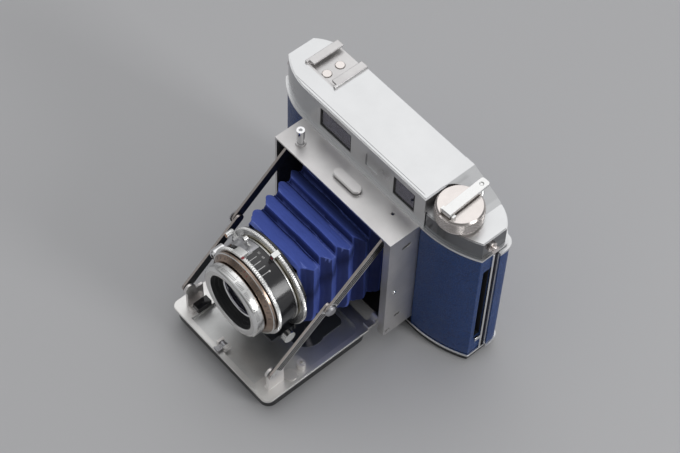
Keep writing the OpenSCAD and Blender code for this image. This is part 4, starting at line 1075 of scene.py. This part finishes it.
# one fold: share of the pitch, widening of the sides, drop of the top, painted light on top and sides
# (1 is lit, near 0 is painted shade, as in the creases and on shaded panels)
FOLD = ((0.0, 0.0, 0.0, 1.0, 0.9), (0.03, 0.2, -0.15, 0.95, 0.75), (0.07, 0.45, -0.3, 0.8, 0.2),
        (0.25, 1.8, -1.1, 0.75, 0.08), (0.46, 3.5, -2.2, 0.7, 0.1), (0.5, 3.7, -2.4, 0.7, 0.8),
        (0.76, 2.5, -3.6, 0.6, 0.7), (0.84, 1.9, -4.6, 0.05, 0.6), (0.88, 1.7, -3.7, 0.45, 0.6),
        (0.91, 1.5, -4.5, 0.0, 0.6), (0.965, 0.5, -1.6, 0.12, 0.7), (0.99, 0.1, -0.3, 0.7, 0.9))


def fold_stations(front, back):
    """(y, half width, half height, corner radius, painted light on top and sides) for each ring."""
    stations = [(front, 17.4, 21.6, 1.2, 0.4, 0.3)]
    for k, (start, end) in enumerate(zip(RIDGES, (*RIDGES[1:], RIDGES[-1] + LAST_PITCH))):
        for share, wide, drop, top, side in FOLD:
            y = front + start + share * (end - start)
            if y >= back - END_MM:
                continue
            # Under the box the top keeps a tenth of its painted light: painted shade.
            sunk, shade = (0.0, 1.0) if k < SHADED_FROM else (2.4, 0.1)
            if k == SHADED_FROM:
                sunk, shade = 3.0 * share, 1.0 - 0.9 * share
            stations.append((y, HALF_X + GROW_X * (y - front) + wide,
                             HALF_Z + GROW_Z * (y - front) + drop - sunk,
                             1.2 if share == 0 else 0.7, top * shade, side))
    depth = back - front
    stations.append((back, HALF_X + GROW_X * depth + 1.8, HALF_Z + GROW_Z * depth - 4.4, 0.9, 0.1, 0.1))
    return stations


def bellows_ring(half_x, half_z, corner, bow):
    """One closed ring: four straight runs that bow by up to `bow`, and rounded corners."""
    points = []
    for cx, cz, start in ((1, 1, 0), (-1, 1, 90), (-1, -1, 180), (1, -1, 270)):
        for j in range(CORNER_STEPS + 1):
            a = math.radians(start + 90 * j / CORNER_STEPS)
            points.append((cx * (half_x - corner) + corner * math.cos(a),
                           cz * (half_z - corner) + corner * math.sin(a)))
    ring = []
    for i, p in enumerate(points):
        ring.append(p)
        q = points[(i + 1) % len(points)]
        if math.dist(p, q) > LONG_RUN_MM:
            top = abs(q[0] - p[0]) > abs(q[1] - p[1])
            for k in range(1, SIDE_STEPS):
                t = k / SIDE_STEPS
                x, z = p[0] + (q[0] - p[0]) * t, p[1] + (q[1] - p[1]) * t
                out = bow * 4 * t * (1 - t)
                if top:
                    z += math.copysign(out, z)
                else:
                    x += math.copysign(out, x)
                ring.append((x, z))
    return ring


def bellows_piece():
    """Lofts the rings into a tube of cloth."""
    low, high = box_mm("bellows")
    stations = fold_stations(low.y, high.y)
    rows, light_shares = [], []
    for first, second in zip(stations, stations[1:]):
        steps = 3 if second[0] - first[0] > WIDE_PANEL_MM else 1
        for k in range(steps):
            t = k / steps
            y, x, z, corner, top, side = (a + (b - a) * t for a, b in zip(first, second))
            swell = SWELL_MM * math.sin(math.pi * t)
            rows.append([(px, y, pz) for px, pz in bellows_ring(x + swell, z + swell, corner, SAG_MM)])
            # each point takes the painted light of the top or of the sides
            light_shares.append([top if abs(pz) > z - corner * 0.6 else side for px, _, pz in rows[-1]])
    y, x, z, corner, top, side = stations[-1]
    rows.append([(px, y, pz) for px, pz in bellows_ring(x, z, corner, 0.3)])
    light_shares.append([top] * len(rows[-1]))
    verts = []
    for row in rows:
        for x, y, z in row:
            drift = noise.noise(Vector((x * 0.09, y * 0.15, z * 0.09))) * DRIFT_MM
            if not low.y + END_MM < y < high.y - END_MM:
                drift = 0
            verts.append(Vector((x + LENS.x + drift, y + drift, z + LENS.z)) * MM)
    mesh = new_mesh("bellows_cloth", verts, tube_faces(len(rows), len(rows[0])))
    # the painted light and shade go to the cloth as a per-point attribute
    painted_light = mesh.attributes.new("painted_light", "FLOAT", "POINT")
    painted_light.data.foreach_set("value", [value for row in light_shares for value in row])
    face_outwards(mesh, CREASE_DEG)
    piece = add_piece("bellows_folds", mesh, "bellows", BELLOWS_CLOTH, replaces=("bellows",))
    wall = piece.modifiers.new("cloth_thickness", "SOLIDIFY")
    wall.thickness = CLOTH_MM * MM
    wall.offset = -1
    soften_edges(piece, 0.14, angle=34)
    bpy.context.view_layer.update()
    solid = bpy.data.meshes.new_from_object(piece.evaluated_get(bpy.context.evaluated_depsgraph_get()))
    piece.modifiers.clear()
    piece.data = solid
    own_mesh(piece)
    print("bellows:", len(stations), "stations,", len(solid.polygons), "faces")


bellows_piece()

# %% [markdown]
# ## Size
# The box of the CAD model, taken before any finish was added, is printed.

# %% Sizes before the finish, and the closing line
print("cad box", [round(v / MM, 1) for v in (*cad_low, *cad_high)])
